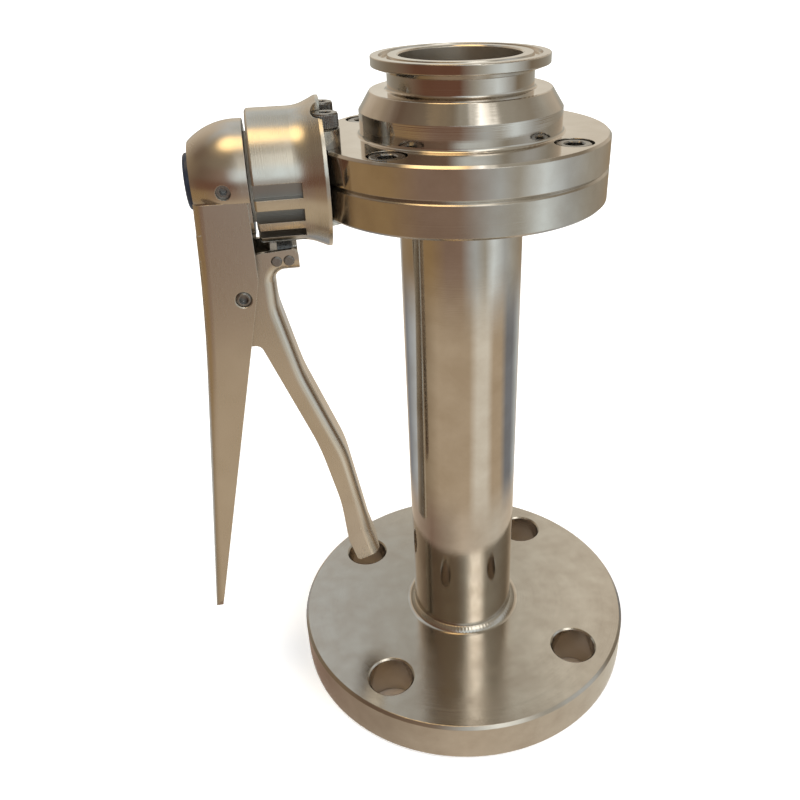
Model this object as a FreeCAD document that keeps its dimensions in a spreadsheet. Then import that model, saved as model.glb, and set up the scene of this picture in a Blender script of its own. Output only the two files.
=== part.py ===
import FreeCAD, Part
import math
import os
import re
import Sketcher
from FreeCAD import Placement, Rotation, Vector

# A sanitary flap valve for a 1 1/2 inch line, in millimetres.
# +Z runs up the pipe, z = 0 is the underside of the pipe flange, and the stem and its lever lie
# towards -X. The lever is drawn hanging down along the pipe, which is the open position.
# The pieces of the two bolted body halves, the stem and the lever are drawn about the point where
# the stem's axis crosses the pipe's axis, at the height stem_height.

SIZES = {
    # Pipe, its flange and the weld between them
    "pipe_bore": 34.8,
    "pipe_outer": 38.1,
    "pipe_length": 156.9,
    "weld_leg": 3.2,
    "base_outer": 127.0,
    "base_thick": 15.9,
    "bolts_to_rim": 14.3,
    "base_bolt_hole": 15.9,
    "base_bolts": 4,
    "base_edge": 1.0,
    "bolt_hole_edge": 0.6,
    # The two halves of the body
    "body_outer": 86.5,
    "lower_thick": 9.8,
    "lower_stub": 4.2,
    "upper_thick": 9.2,
    "body_edge": 0.7,
    "hub_outer": 58.6,
    "hub_height": 6.7,
    "hub_root": 1.0,
    "cone_top": 52.0,
    "cone_height": 5.1,
    "cone_edge": 0.5,
    "neck_outer": 41.7,
    "neck_height": 4.7,
    "neck_root": 0.8,
    # Clamp ferrule at the top
    "rim_outer": 50.5,
    "rim_thick": 2.7,
    "rim_slope": 1.6,
    "rim_edge": 0.3,
    "gasket_circle": 43.2,
    "gasket_width": 2.6,
    "gasket_depth": 0.9,
    "bore_edge": 0.4,
    # Seat ring and flap
    "seat_outer": 48.0,
    "seat_half": 7.0,
    "seat_lip": 0.2,
    "seat_land": 3.0,
    "flap_gap": 0.3,
    "flap_thick": 6.0,
    "flap_edge_thick": 3.0,
    "flap_boss": 22.0,
    "flap_round": 1.2,
    # Stem, its bushes and its seal
    "stem_thick": 10.0,
    "stem_fit": 0.1,
    "stem_clear": 0.6,
    "stem_edge": 0.6,
    "stem_end_gap": 1.0,
    "bush_outer": 14.0,
    "bush_from": 27.0,
    "bush_length": 12.6,
    "seal_room": 3.2,
    "seal_wire": 1.9,
    "blind_bush_length": 8.0,
    # Screws that hold the two halves together
    "body_screws": 4,
    "body_screw_circle": 72.0,
    "body_screw_thick": 6.0,
    "body_screw_head": 10.0,
    "body_screw_head_height": 6.0,
    "body_screw_hole": 6.6,
    "body_screw_socket": 5.0,
    "body_screw_socket_depth": 3.0,
    "counterbore": 11.0,
    "counterbore_depth": 6.2,
    "thread_play": 0.1,
    "thread_end_gap": 0.6,
    # Index drum: collar with two ears over the body flanges, slotted sleeve and end bush
    "drum_overlap": 2.8,
    "drum_length": 20.4,
    "drum_outer": 37.0,
    "collar_outer": 41.8,
    "collar_thick": 1.0,
    "collar_sweep": 12.0,
    "drum_edge": 0.6,
    "drum_bush_length": 10.0,
    "saddle_gap": 0.2,
    "ear_thick": 4.7,
    "low_ear_thick": 1.6,
    "ear_width": 30.6,
    "ear_reach": 4.65,
    "ear_round": 6.0,
    "slot_count": 5,
    "slot_length": 13.2,
    "slot_width": 4.2,
    "slot_depth": 3.4,
    "lever_swing": 90.0,
    # Screws that hold the drum's top ear to the body
    "ear_screw_inset": 1.05,
    "ear_screw_spread": 17.4,
    "ear_screw_thick": 4.0,
    "ear_screw_head": 7.0,
    "ear_screw_head_height": 4.0,
    "ear_screw_hole": 4.4,
    "ear_screw_pocket": 7.8,
    "ear_screw_socket": 3.0,
    "ear_screw_socket_depth": 2.0,
    "ear_screw_length": 9.6,
    # Washer between the drum and the lever's head
    "washer_outer": 25.0,
    "washer_thick": 0.9,
    "washer_gap": 0.1,
    # Lever head, its plug and its clamping screw
    "head_length": 15.45,
    "head_outer": 32.0,
    "head_dome": 20.0,
    "head_shoulder": 2.0,
    "head_fit": 0.04,
    "plug_body": 14.4,
    "plug_depth": 3.0,
    "plug_cap": 15.6,
    "plug_cap_thick": 1.8,
    "grub_thick": 4.0,
    "grub_length": 9.6,
    "grub_socket": 2.0,
    "grub_socket_depth": 2.6,
    "grub_back": 6.8,
    "stem_flat_depth": 0.9,
    "stem_flat_length": 9.0,
    # Lever, folded from sheet
    "lever_width": 30.0,
    "lever_sheet": 2.0,
    "lever_bend": 3.0,
    "lever_top": 3.0,
    "lever_step": 0.8,
    "lever_web_top": 12.0,
    "lever_out_top": 77.4,
    "lever_bow": 1.88,
    "lever_knee": 34.0,
    "lever_out_tip": 93.9,
    "lever_tip": 150.0,
    "lever_out_sweep": 600.0,
    "lever_in_knee": 26.0,
    "lever_in_sweep": 14.0,
    "lever_in_tip": 92.05,
    "lever_tip_round": 8.0,
    # Trigger, folded from thinner sheet, and the pin it turns on
    "trigger_pin_out": 67.5,
    "trigger_pin_drop": 31.0,
    "trigger_pin_thick": 4.5,
    "trigger_pin_fit": 0.12,
    "pin_edge": 0.5,
    "pin_dimple": 2.6,
    "pin_dimple_depth": 2.0,
    "pin_hole_edge": 0.3,
    "trigger_width": 16.0,
    "trigger_sheet": 1.5,
    "trigger_bend": 3.5,
    "nose_out": 50.5,
    "nose_top": 19.4,
    "nose_under": 26.3,
    "nose_round": 2.0,
    "cheek_out": 72.6,
    "cheek_top": 20.9,
    "cheek_round": 6.0,
    "cheek_end": 49.2,
    "grip_start": 65.0,
    "front_elbow_out": 50.6,
    "front_elbow_drop": 88.5,
    "front_waist_out": 45.3,
    "front_waist_drop": 113.0,
    "front_curl_out": 44.0,
    "front_curl_lag": 2.0,
    "front_tip_out": 41.2,
    "front_tip_lag": 2.5,
    "neck_out": 58.0,
    "knee_out": 57.9,
    "knee_drop": 38.5,
    "elbow_out": 52.6,
    "elbow_drop": 62.0,
    "waist_out": 41.3,
    "waist_drop": 93.5,
    "curl_out": 35.3,
    "curl_drop": 128.5,
    "tip_out": 32.9,
    "tip_below_curl": 9.5,
    "tip_round": 1.4,
    "tip_lip": 1.2,
    "cheek_foot_round": 2.0,
    "grip_root_round": 2.5,
    "front_elbow_sweep": 90.0,
    "front_waist_sweep": 70.0,
    "front_curl_sweep": 12.0,
    "neck_sweep": 3.0,
    "knee_sweep": 20.0,
    "elbow_sweep": 60.0,
    "waist_sweep": 50.0,
    "curl_sweep": 20.0,
    "sleeve_outer": 6.6,
    "sleeve_play": 0.1,
    # Pawl in the trigger's nose, and its rivets
    "pawl_length": 6.7,
    "pawl_height": 3.9,
    "pawl_inset": 1.4,
    "tooth_width": 3.5,
    "tooth_length": 4.6,
    "tooth_gap": 0.3,
    "rivet_thick": 2.0,
    "rivet_head": 3.2,
    "rivet_head_height": 0.3,
    "rivet_spread": 3.6,
    # Torsion spring on the trigger's pin
    "spring_wire": 1.0,
    "spring_turns": 4.0,
    "spring_pitch": 1.15,
    "spring_play": 0.4,
    "spring_grip_leg": 15.6,
    "spring_lever_leg": 13.0,
    "spring_grip_turn": 18.5,
    "spring_lever_turn": 152.0,
}

# Places worked out from the sizes. s_ places are distances from the pipe's axis along the stem.
PLACES = {
    "base_bolt_circle": "base_outer - 2 * bolts_to_rim",
    "tip_drop": "curl_drop + tip_below_curl",
    "front_curl_drop": "curl_drop + front_curl_lag",
    "front_tip_drop": "tip_drop + front_tip_lag",
    "bore_r": "pipe_bore / 2",
    "pipe_r": "pipe_outer / 2",
    "body_r": "body_outer / 2",
    "stem_r": "stem_thick / 2",
    "bush_r": "bush_outer / 2",
    "pipe_foot": "base_thick + weld_leg",
    "stem_height": "base_thick + weld_leg + pipe_length + lower_stub + lower_thick",
    "hub_top": "upper_thick + hub_height",
    "cone_end": "hub_top + cone_height",
    "neck_end": "cone_end + neck_height",
    "rim_foot": "neck_end + rim_slope",
    "rim_top": "rim_foot + rim_thick",
    "flap_r": "bore_r - seat_lip - flap_gap",
    "s_seal": "bush_from + seal_room / 2",
    "s_bush": "bush_from + seal_room",
    "trigger_pin_height": "stem_height - trigger_pin_drop",
    "s_blind": "bush_from + blind_bush_length + stem_end_gap",
    "s_collar": "body_r - drum_overlap",
    "s_drum_end": "s_collar + drum_length",
    "s_washer": "s_drum_end + washer_thick",
    "s_head": "s_washer + washer_gap",
    "s_head_end": "s_head + head_length",
    "s_plug_seat": "s_head_end - plug_depth",
    "s_grub": "s_head + grub_back",
    "s_ear_screw": "s_collar - ear_screw_inset",
    "drum_r": "drum_outer / 2",
    "lever_half": "lever_width / 2",
    "lever_gap_half": "lever_half - lever_sheet",
    "lever_knee_share": "(lever_knee - lever_top) / (lever_tip - lever_top)",
    "lever_out_knee": "lever_out_top + (lever_out_tip - lever_out_top) * lever_knee_share - lever_bow",
    "trigger_half": "trigger_width / 2",
    "trigger_gap_half": "trigger_half - trigger_sheet",
    "tooth_top": "drum_r + tooth_gap",
    "pawl_foot": "nose_under - trigger_sheet",
    "pawl_end": "nose_out + pawl_inset + pawl_length",
    "rivet_out": "nose_out + pawl_inset + pawl_length / 2",
    "rivet_drop": "pawl_foot - pawl_height / 2",
    "spring_r": "(sleeve_outer + spring_wire) / 2 + spring_play",
}

doc = FreeCAD.newDocument("flap_valve")
sheet = doc.addObject("Spreadsheet::Sheet", "Sizes")
for row, (alias, size) in enumerate(SIZES.items(), start=1):
    sheet.set(f"A{row}", alias)
    sheet.set(f"B{row}", str(size))
    sheet.setAlias(f"B{row}", alias)
doc.recompute()

WORD = re.compile(r"[A-Za-z_]\w*")
EAR_SIDES = (("near", "-ear_screw_spread / 2"), ("far", "ear_screw_spread / 2"))
H_AXIS = -1
V_AXIS = -2
START, END, CENTRE = range(1, 4)


def formula(text):
    """The expression with each size pointed at the sheet and each place written out."""

    def swap(match):
        word = match.group()
        if word in PLACES:
            return f"({formula(PLACES[word])})"
        if word in SIZES:
            return f"Sizes.{word}"
        return word

    return WORD.sub(swap, text)


def number(text):
    """What an expression comes to now."""
    return float(sheet.evalExpression(formula(text)))


def bind(thing, prop, text):
    """Give a property its value and tie it to the sheet."""
    thing.setExpression(prop, formula(text))


# Sketches


def pin_down(plan, geometry, end, x, y):
    """Hold one point of a sketch at the place that two expressions give."""
    for kind, text, axis in (("DistanceX", x, V_AXIS), ("DistanceY", y, H_AXIS)):
        if text == "0":
            plan.addConstraint(Sketcher.Constraint("PointOnObject", geometry, end, axis))
            continue
        held = Sketcher.Constraint(kind, H_AXIS, START, geometry, end, number(text))
        index = plan.addConstraint(held)
        bind(plan, f"Constraints[{index}]", text)


def round_corner(before, corner, after, radius):
    """Where a rounded corner's arc starts, its centre, where it ends, and if it turns left."""
    back = (before - corner).normalize()
    on = (after - corner).normalize()
    half = back.getAngle(on) / 2
    start = corner + back * (radius / math.tan(half))
    end = corner + on * (radius / math.tan(half))
    centre = corner + (back + on).normalize() * (radius / math.sin(half))
    left = (corner - before).cross(after - corner).z > 0
    return start, centre, end, left


def add_outline(plan, corners):
    """A closed outline of lines; a corner's third entry is the radius that rounds it."""
    spots = [Vector(number(c[0]), number(c[1]), 0) for c in corners]
    count = len(corners)
    arcs = {}
    for i, corner in enumerate(corners):
        if len(corner) == 3:
            radius = number(corner[2])
            arcs[i] = round_corner(spots[i - 1], spots[i], spots[(i + 1) % count], radius)
    first = plan.GeometryCount
    for i in range(count):
        j = (i + 1) % count
        begin = arcs[i][2] if i in arcs else spots[i]
        finish = arcs[j][0] if j in arcs else spots[j]
        plan.addGeometry(Part.LineSegment(begin, finish), False)
    for i, corner in enumerate(corners):
        line_in = first + (i - 1) % count
        line_out = first + i
        if i not in arcs:
            plan.addConstraint(Sketcher.Constraint("Coincident", line_in, END, line_out, START))
            pin_down(plan, line_out, START, corner[0], corner[1])
            continue
        start, centre, end, left = arcs[i]
        from_spot, to_spot = (start, end) if left else (end, start)
        circle = Part.Circle(centre, Vector(0, 0, 1), number(corner[2]))
        arc = plan.addGeometry(
            Part.ArcOfCircle(circle, circle.parameter(from_spot), circle.parameter(to_spot)), False
        )
        arc_in, arc_out = (START, END) if left else (END, START)
        plan.addConstraint(Sketcher.Constraint("Tangent", line_in, END, arc, arc_in))
        plan.addConstraint(Sketcher.Constraint("Tangent", arc, arc_out, line_out, START))
        index = plan.addConstraint(Sketcher.Constraint("Radius", arc, number(corner[2])))
        bind(plan, f"Constraints[{index}]", corner[2])
        point = plan.addGeometry(Part.Point(spots[i]), True)
        pin_down(plan, point, START, corner[0], corner[1])
        plan.addConstraint(Sketcher.Constraint("PointOnObject", point, START, line_in))
        plan.addConstraint(Sketcher.Constraint("PointOnObject", point, START, line_out))


def add_circle(plan, x, y, width):
    """A circle in a sketch, by its centre and its diameter."""
    circle = Part.Circle(Vector(number(x), number(y), 0), Vector(0, 0, 1), number(width) / 2)
    index = plan.addGeometry(circle, False)
    held = plan.addConstraint(Sketcher.Constraint("Diameter", index, number(width)))
    bind(plan, f"Constraints[{held}]", width)
    pin_down(plan, index, CENTRE, x, y)


def new_sketch(owner, name, plane, lift=None):
    """An empty sketch on one of the body's own origin planes, lifted along its normal."""
    plan = owner.newObject("Sketcher::SketchObject", name)
    support = [f for f in owner.Origin.OriginFeatures if f.Role == plane][0]
    plan.AttachmentSupport = [(support, "")]
    plan.MapMode = "FlatFace"
    if lift:
        bind(plan, "AttachmentOffset.Base.z", lift)
    return plan


def drawn(owner, name, plane, *outlines, lift=None):
    """A sketch of closed outlines."""
    plan = new_sketch(owner, name, plane, lift)
    for corners in outlines:
        add_outline(plan, corners)
    return plan


def ringed(owner, name, plane, x, y, width, lift=None):
    """A sketch of one circle."""
    plan = new_sketch(owner, name, plane, lift)
    add_circle(plan, x, y, width)
    return plan


# Features


def new_body(label, x=None, z=None):
    """An empty body whose origin stands at the given place."""
    owner = doc.addObject("PartDesign::Body", label)
    owner.Label = label
    if x:
        bind(owner, "Placement.Base.x", x)
    if z:
        bind(owner, "Placement.Base.z", z)
    return owner


def turned(owner, name, plan, axis="V_Axis", cut=False):
    """Turn a profile right round one of its sketch's axes, to add or to cut."""
    kind = "PartDesign::Groove" if cut else "PartDesign::Revolution"
    made = owner.newObject(kind, name)
    made.Profile = plan
    made.ReferenceAxis = (plan, [axis])
    made.Angle = 360
    return made


def padded(owner, name, plan, length, both=True, back=False):
    """Push a profile out by a length, both ways from its plane or one way."""
    made = owner.newObject("PartDesign::Pad", name)
    made.Profile = plan
    made.SideType = "Symmetric" if both else "One side"
    made.Reversed = back
    bind(made, "Length", length)
    return made


def pocketed(owner, name, plan, length=None, both=False, back=False):
    """Cut a profile in by a length, or right through both ways where there is none."""
    made = owner.newObject("PartDesign::Pocket", name)
    made.Profile = plan
    if length is None:
        made.SideType = "Symmetric"
        made.Type = "ThroughAll"
        return made
    made.SideType = "Symmetric" if both else "One side"
    made.Type = "Length"
    made.Reversed = back
    bind(made, "Length", length)
    return made


def repeated(owner, name, features, axis, count, angle="360", back=False):
    """Repeat features round an axis."""
    made = owner.newObject("PartDesign::PolarPattern", name)
    made.Originals = features
    made.Axis = axis
    made.Reversed = back
    bind(made, "Angle", angle)
    bind(made, "Occurrences", count)
    owner.Tip = made
    return made


def dressed(owner, kind, name, size, wanted):
    """Fillet or chamfer the edges that a test picks out."""
    doc.recompute()
    base = owner.Tip
    picked = [f"Edge{i}" for i, edge in enumerate(base.Shape.Edges, start=1) if wanted(edge)]
    made = owner.newObject(f"PartDesign::{kind}", name)
    made.Base = (base, picked)
    bind(made, "Radius" if kind == "Fillet" else "Size", size)
    return made


def is_ring(edge, radius, height):
    """True for a whole circular edge of this radius at this height."""
    curve = edge.Curve
    if not isinstance(curve, Part.Circle):
        return False
    return abs(curve.Radius - radius) < 1e-4 and abs(curve.Center.z - height) < 1e-4


# Pipe side


def base_flange():
    """Pipe flange with four bolt holes and a short neck that runs into the pipe."""
    owner = new_body("base_flange")
    profile = [
        ("bore_r", "0"),
        ("base_outer / 2 - base_edge", "0"),
        ("base_outer / 2", "base_edge"),
        ("base_outer / 2", "base_thick - base_edge"),
        ("base_outer / 2 - base_edge", "base_thick"),
        ("pipe_r", "base_thick", "weld_leg * 0.99"),
        ("pipe_r", "pipe_foot"),
        ("bore_r", "pipe_foot"),
    ]
    turned(owner, "base_turned", drawn(owner, "base_profile", "XZ_Plane", profile))
    across = "base_bolt_circle / 2 * sqrt(0.5)"
    plan = ringed(owner, "base_hole_plan", "XY_Plane", across, across, "base_bolt_hole")
    hole = pocketed(owner, "base_hole", plan)
    repeated(owner, "base_holes", [hole], (plan, ["N_Axis"]), "base_bolts")
    radius = number("base_bolt_hole") / 2
    top = number("base_thick")
    dressed(
        owner, "Chamfer", "base_hole_edges", "bolt_hole_edge",
        lambda edge: is_ring(edge, radius, top),
    )
    return owner


def outlet_pipe():
    """Plain tube between the pipe flange and the lower half of the body."""
    owner = new_body("outlet_pipe")
    profile = [
        ("bore_r", "pipe_foot"),
        ("pipe_r", "pipe_foot"),
        ("pipe_r", "pipe_foot + pipe_length"),
        ("bore_r", "pipe_foot + pipe_length"),
    ]
    turned(owner, "pipe_turned", drawn(owner, "pipe_profile", "XZ_Plane", profile))
    return owner


# Body halves, drawn about the crossing of the stem and the pipe


def bore_for_stem(owner, name):
    """The stem's tunnel, half in each body half: clearance, seal room, bush and blind end."""
    room = "body_r + 1"
    profile = [
        (f"-({room})", "0"),
        (f"-({room})", "bush_r"),
        ("-bush_from", "bush_r"),
        ("-bush_from", "stem_r + stem_clear / 2"),
        ("bush_from", "stem_r + stem_clear / 2"),
        ("bush_from", "bush_r"),
        ("s_blind", "bush_r"),
        ("s_blind", "0"),
    ]
    turned(owner, name, drawn(owner, f"{name}_profile", "XZ_Plane", profile), "H_Axis", cut=True)


def lower_body():
    """Lower half: round flange with a stub for the pipe, half the stem's tunnel, tapped holes."""
    owner = new_body("lower_body", z="stem_height")
    under = "-lower_thick"
    profile = [
        ("bore_r", f"{under} - lower_stub"),
        ("pipe_r", f"{under} - lower_stub"),
        ("pipe_r", under, "weld_leg"),
        ("body_r - body_edge", under),
        ("body_r", f"{under} + body_edge"),
        ("body_r", "-body_edge"),
        ("body_r - body_edge", "0"),
        ("seat_outer / 2", "0"),
        ("seat_outer / 2", "-seat_half"),
        ("bore_r", "-seat_half"),
    ]
    turned(owner, "lower_turned", drawn(owner, "lower_profile", "XZ_Plane", profile))
    bore_for_stem(owner, "lower_tunnel")
    across = "body_screw_circle / 2 * sqrt(0.5)"
    width = "body_screw_thick + thread_play"
    plan = ringed(owner, "lower_hole_plan", "XY_Plane", across, across, width)
    hole = pocketed(owner, "lower_hole", plan)
    repeated(owner, "lower_holes", [hole], (plan, ["N_Axis"]), "body_screws")
    return owner


def upper_body():
    """Upper half: round flange, hub, cone and neck up to the clamp ferrule, in one turning."""
    owner = new_body("upper_body", z="stem_height")
    groove_in = "(gasket_circle - gasket_width) / 2"
    groove_out = "(gasket_circle + gasket_width) / 2"
    profile = [
        ("seat_outer / 2", "0"),
        ("body_r - body_edge", "0"),
        ("body_r", "body_edge"),
        ("body_r", "upper_thick - body_edge"),
        ("body_r - body_edge", "upper_thick"),
        ("hub_outer / 2", "upper_thick", "hub_root"),
        ("hub_outer / 2", "hub_top"),
        ("cone_top / 2", "cone_end", "cone_edge"),
        ("neck_outer / 2", "cone_end", "neck_root"),
        ("neck_outer / 2", "neck_end"),
        ("rim_outer / 2", "rim_foot", "rim_edge"),
        ("rim_outer / 2", "rim_top", "rim_edge"),
        (groove_out, "rim_top"),
        (f"{groove_out} - gasket_depth / 3", "rim_top - gasket_depth"),
        (f"{groove_in} + gasket_depth / 3", "rim_top - gasket_depth"),
        (groove_in, "rim_top"),
        ("bore_r + bore_edge", "rim_top"),
        ("bore_r", "rim_top - bore_edge"),
        ("bore_r", "seat_half"),
        ("seat_outer / 2", "seat_half"),
    ]
    turned(owner, "upper_turned", drawn(owner, "upper_profile", "XZ_Plane", profile))
    bore_for_stem(owner, "upper_tunnel")
    across = "body_screw_circle / 2 * sqrt(0.5)"
    plan = ringed(owner, "upper_hole_plan", "XY_Plane", across, across, "body_screw_hole")
    hole = pocketed(owner, "upper_hole", plan, "upper_thick", back=True)
    seat = ringed(
        owner, "counterbore_plan", "XY_Plane", across, across, "counterbore", "upper_thick"
    )
    sunk = pocketed(owner, "counterbore", seat, "counterbore_depth")
    repeated(owner, "upper_holes", [hole, sunk], (plan, ["N_Axis"]), "body_screws")
    for side, y in EAR_SIDES:
        width = "ear_screw_thick + thread_play"
        where = ("-s_ear_screw", y, width, "upper_thick")
        plan = ringed(owner, f"ear_thread_{side}_plan", "XY_Plane", *where)
        pocketed(owner, f"ear_thread_{side}", plan, "ear_screw_length - ear_thick")
    return owner


def seat_ring():
    """Elastomer ring held between the halves, with a low lip where the flap closes."""
    owner = new_body("seat_ring", z="stem_height")
    profile = [
        ("bore_r", "-seat_half"),
        ("seat_outer / 2", "-seat_half"),
        ("seat_outer / 2", "seat_half"),
        ("bore_r", "seat_half"),
        ("bore_r - seat_lip", "seat_land / 2"),
        ("bore_r - seat_lip", "-seat_land / 2"),
    ]
    turned(owner, "seat_turned", drawn(owner, "seat_profile", "XZ_Plane", profile))
    width = "stem_thick + stem_clear"
    pocketed(owner, "seat_stem_hole", ringed(owner, "seat_hole_plan", "YZ_Plane", "0", "0", width))
    return owner


def round_the_stem(label, inner, outer, near, far, side="-"):
    """A plain ring on the stem's axis between two distances from the pipe."""
    owner = new_body(label, z="stem_height")
    profile = [
        (f"{side}({near})", inner),
        (f"{side}({near})", outer),
        (f"{side}({far})", outer),
        (f"{side}({far})", inner),
    ]
    plan = drawn(owner, f"{label}_profile", "XZ_Plane", profile)
    turned(owner, f"{label}_turned", plan, "H_Axis")
    return owner


def stem_bushes():
    """Plain bushes in the drive side and in the blind side of the body."""
    bore = "stem_r + stem_fit / 2"
    drive = round_the_stem("drive_bush", bore, "bush_r", "s_bush", "s_bush + bush_length")
    far = "bush_from + blind_bush_length"
    blind = round_the_stem("blind_bush", bore, "bush_r", "bush_from", far, side="")
    return [drive, blind]


def stem_seal():
    """O-ring on the stem between the tunnel's step and the drive bush."""
    made = doc.addObject("Part::Torus", "stem_seal")
    made.Label = "stem_seal"
    bind(made, "Radius2", "seal_wire / 2")
    bind(made, "Radius1", "bush_r - seal_wire / 2")
    made.Placement = Placement(Vector(), Rotation(Vector(0, 1, 0), 90))
    bind(made, "Placement.Base.x", "-s_seal")
    bind(made, "Placement.Base.z", "stem_height")
    return made


# Socket screws


def cap_screw(name, spec, length, x, y, z):
    """A socket screw that points down, with its head's top at the given place."""
    head = doc.addObject("Part::Cylinder", f"{name}_head")
    bind(head, "Radius", f"{spec}_head / 2")
    bind(head, "Height", f"{spec}_head_height")
    bind(head, "Placement.Base.z", f"-{spec}_head_height")
    shank = doc.addObject("Part::Cylinder", f"{name}_shank")
    bind(shank, "Radius", f"{spec}_thick / 2")
    bind(shank, "Height", length)
    bind(shank, "Placement.Base.z", f"-{spec}_head_height - ({length})")
    blank = doc.addObject("Part::Fuse", f"{name}_blank")
    blank.Base = head
    blank.Tool = shank
    socket = doc.addObject("Part::Prism", f"{name}_socket")
    socket.Polygon = 6
    bind(socket, "Circumradius", f"{spec}_socket / sqrt(3)")
    bind(socket, "Height", f"{spec}_socket_depth + 1")
    bind(socket, "Placement.Base.z", f"-{spec}_socket_depth")
    screw = doc.addObject("Part::Cut", name)
    screw.Base = blank
    screw.Tool = socket
    for prop, text in (("x", x), ("y", y), ("z", z)):
        bind(screw, f"Placement.Base.{prop}", text)
    return screw


def together(label, pieces):
    """Several like pieces as one group."""
    made = doc.addObject("Part::Compound", label)
    made.Label = label
    made.Links = pieces
    return made


def body_screws():
    """Four socket screws, sunk in the upper half and threaded into the lower one."""
    top = "stem_height + upper_thick - counterbore_depth + body_screw_head_height"
    length = "upper_thick - counterbore_depth + lower_thick - thread_end_gap"
    pieces = []
    count = int(number("body_screws"))
    for i in range(count):
        turn = math.radians(45 + 360 * i / count)
        x = f"body_screw_circle / 2 * {math.cos(turn):.9f}"
        y = f"body_screw_circle / 2 * {math.sin(turn):.9f}"
        pieces.append(cap_screw(f"body_screw_{i}", "body_screw", length, x, y, top))
    return together("body_screw_set", pieces)


def ear_screws():
    """Two small socket screws that hold the drum's top ear to the upper half."""
    length = "ear_screw_length - thread_end_gap"
    top = "stem_height + upper_thick + ear_thick + ear_screw_head_height"
    pieces = []
    for side, y in EAR_SIDES:
        pieces.append(cap_screw(f"ear_screw_{side}", "ear_screw", length, "-s_ear_screw", y, top))
    return together("ear_screw_set", pieces)


# Index drum


def index_drum():
    """Fixed drum round the stem: a flared collar with a thick ear over the body and a thin one
    under it, and a sleeve with the slots that the trigger's pawl drops into at each setting."""
    owner = new_body("index_drum", z="stem_height")
    profile = [
        ("-s_collar", "stem_r + stem_clear / 2"),
        ("-s_collar", "collar_outer / 2"),
        ("-s_collar - collar_thick", "collar_outer / 2"),
        ("-s_collar - collar_thick - collar_outer / 8", "drum_r", "collar_sweep"),
        ("-s_drum_end + drum_edge", "drum_r"),
        ("-s_drum_end", "drum_r - drum_edge"),
        ("-s_drum_end", "bush_r"),
        ("-s_drum_end + drum_bush_length", "bush_r"),
        ("-s_drum_end + drum_bush_length", "stem_r + stem_clear / 2"),
    ]
    plan = drawn(owner, "drum_profile", "XZ_Plane", profile)
    turned(owner, "drum_turned", plan, "H_Axis")
    ear = [
        ("-s_collar - collar_thick", "-ear_width / 2"),
        ("-s_collar - collar_thick", "ear_width / 2"),
        ("-s_collar + ear_reach", "ear_width / 2", "ear_round"),
        ("-s_collar + ear_reach", "-ear_width / 2", "ear_round"),
    ]
    plan = drawn(owner, "top_ear_plan", "XY_Plane", ear, lift="upper_thick")
    padded(owner, "top_ear", plan, "ear_thick", both=False)
    plan = drawn(owner, "low_ear_plan", "XY_Plane", ear, lift="-lower_thick")
    padded(owner, "low_ear", plan, "low_ear_thick", both=False, back=True)
    width = "body_outer + 2 * saddle_gap"
    plan = ringed(owner, "saddle_plan", "XY_Plane", "0", "0", width, "upper_thick")
    pocketed(owner, "saddle", plan, "upper_thick + lower_thick")
    for side, y in EAR_SIDES:
        for name, width, length in (
            ("ear_hole", "ear_screw_hole", "ear_thick"),
            ("head_pocket", "ear_screw_pocket", "collar_outer / 2"),
        ):
            lift = "upper_thick + ear_thick"
            plan = ringed(
                owner, f"{name}_{side}_plan", "XY_Plane", "-s_ear_screw", y, width, lift
            )
            pocketed(owner, f"{name}_{side}", plan, length, back=name == "head_pocket")
    slot = [
        ("-slot_width / 2", "-drum_r + slot_depth"),
        ("-slot_width / 2", "-drum_r - slot_depth"),
        ("slot_width / 2", "-drum_r - slot_depth"),
        ("slot_width / 2", "-drum_r + slot_depth"),
    ]
    plan = drawn(owner, "slot_plan", "YZ_Plane", slot, lift="-s_drum_end")
    first = pocketed(owner, "slot", plan, "slot_length", back=True)
    repeated(
        owner, "slots", [first], (plan, ["N_Axis"]), "slot_count", "lever_swing", back=True
    )
    return owner


def drum_bush():
    """Plain bush for the stem in the drum's outer end."""
    near = "s_drum_end - drum_bush_length"
    return round_the_stem("drum_bush", "stem_r + stem_fit / 2", "bush_r", near, "s_drum_end")


def thrust_washer():
    """Plastic washer on the drum's end face, for the lever's head to turn against."""
    inner = "stem_r + stem_clear / 2"
    return round_the_stem("thrust_washer", inner, "washer_outer / 2", "s_drum_end", "s_washer")


# What turns with the lever


def flap():
    """Flap and stem in one piece: a lens-shaped disc across a round stem."""
    owner = new_body("flap_and_stem", z="stem_height")
    disc = [
        ("0", "-flap_thick / 2"),
        ("flap_boss / 2", "-flap_thick / 2"),
        ("flap_r", "-flap_edge_thick / 2", "flap_round"),
        ("flap_r", "flap_edge_thick / 2", "flap_round"),
        ("flap_boss / 2", "flap_thick / 2"),
        ("0", "flap_thick / 2"),
    ]
    turned(owner, "flap_turned", drawn(owner, "flap_profile", "XY_Plane", disc))
    end = "s_plug_seat - stem_end_gap / 2"
    stub = "bush_from + blind_bush_length"
    shaft = [
        (f"-({end})", "0"),
        (f"-({end})", "stem_r - stem_edge"),
        (f"-({end}) + stem_edge", "stem_r"),
        (f"{stub} - stem_edge", "stem_r"),
        (stub, "stem_r - stem_edge"),
        (stub, "0"),
    ]
    turned(owner, "stem_turned", drawn(owner, "stem_profile", "XZ_Plane", shaft), "H_Axis")
    flat = [
        ("-s_grub - stem_flat_length / 2", "-stem_r"),
        ("-s_grub + stem_flat_length / 2", "-stem_r"),
        ("-s_grub + stem_flat_length / 2", "stem_r"),
        ("-s_grub - stem_flat_length / 2", "stem_r"),
    ]
    plan = drawn(owner, "stem_flat_plan", "XZ_Plane", flat, lift="stem_r")
    pocketed(owner, "stem_flat", plan, "stem_flat_depth")
    return owner


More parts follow.
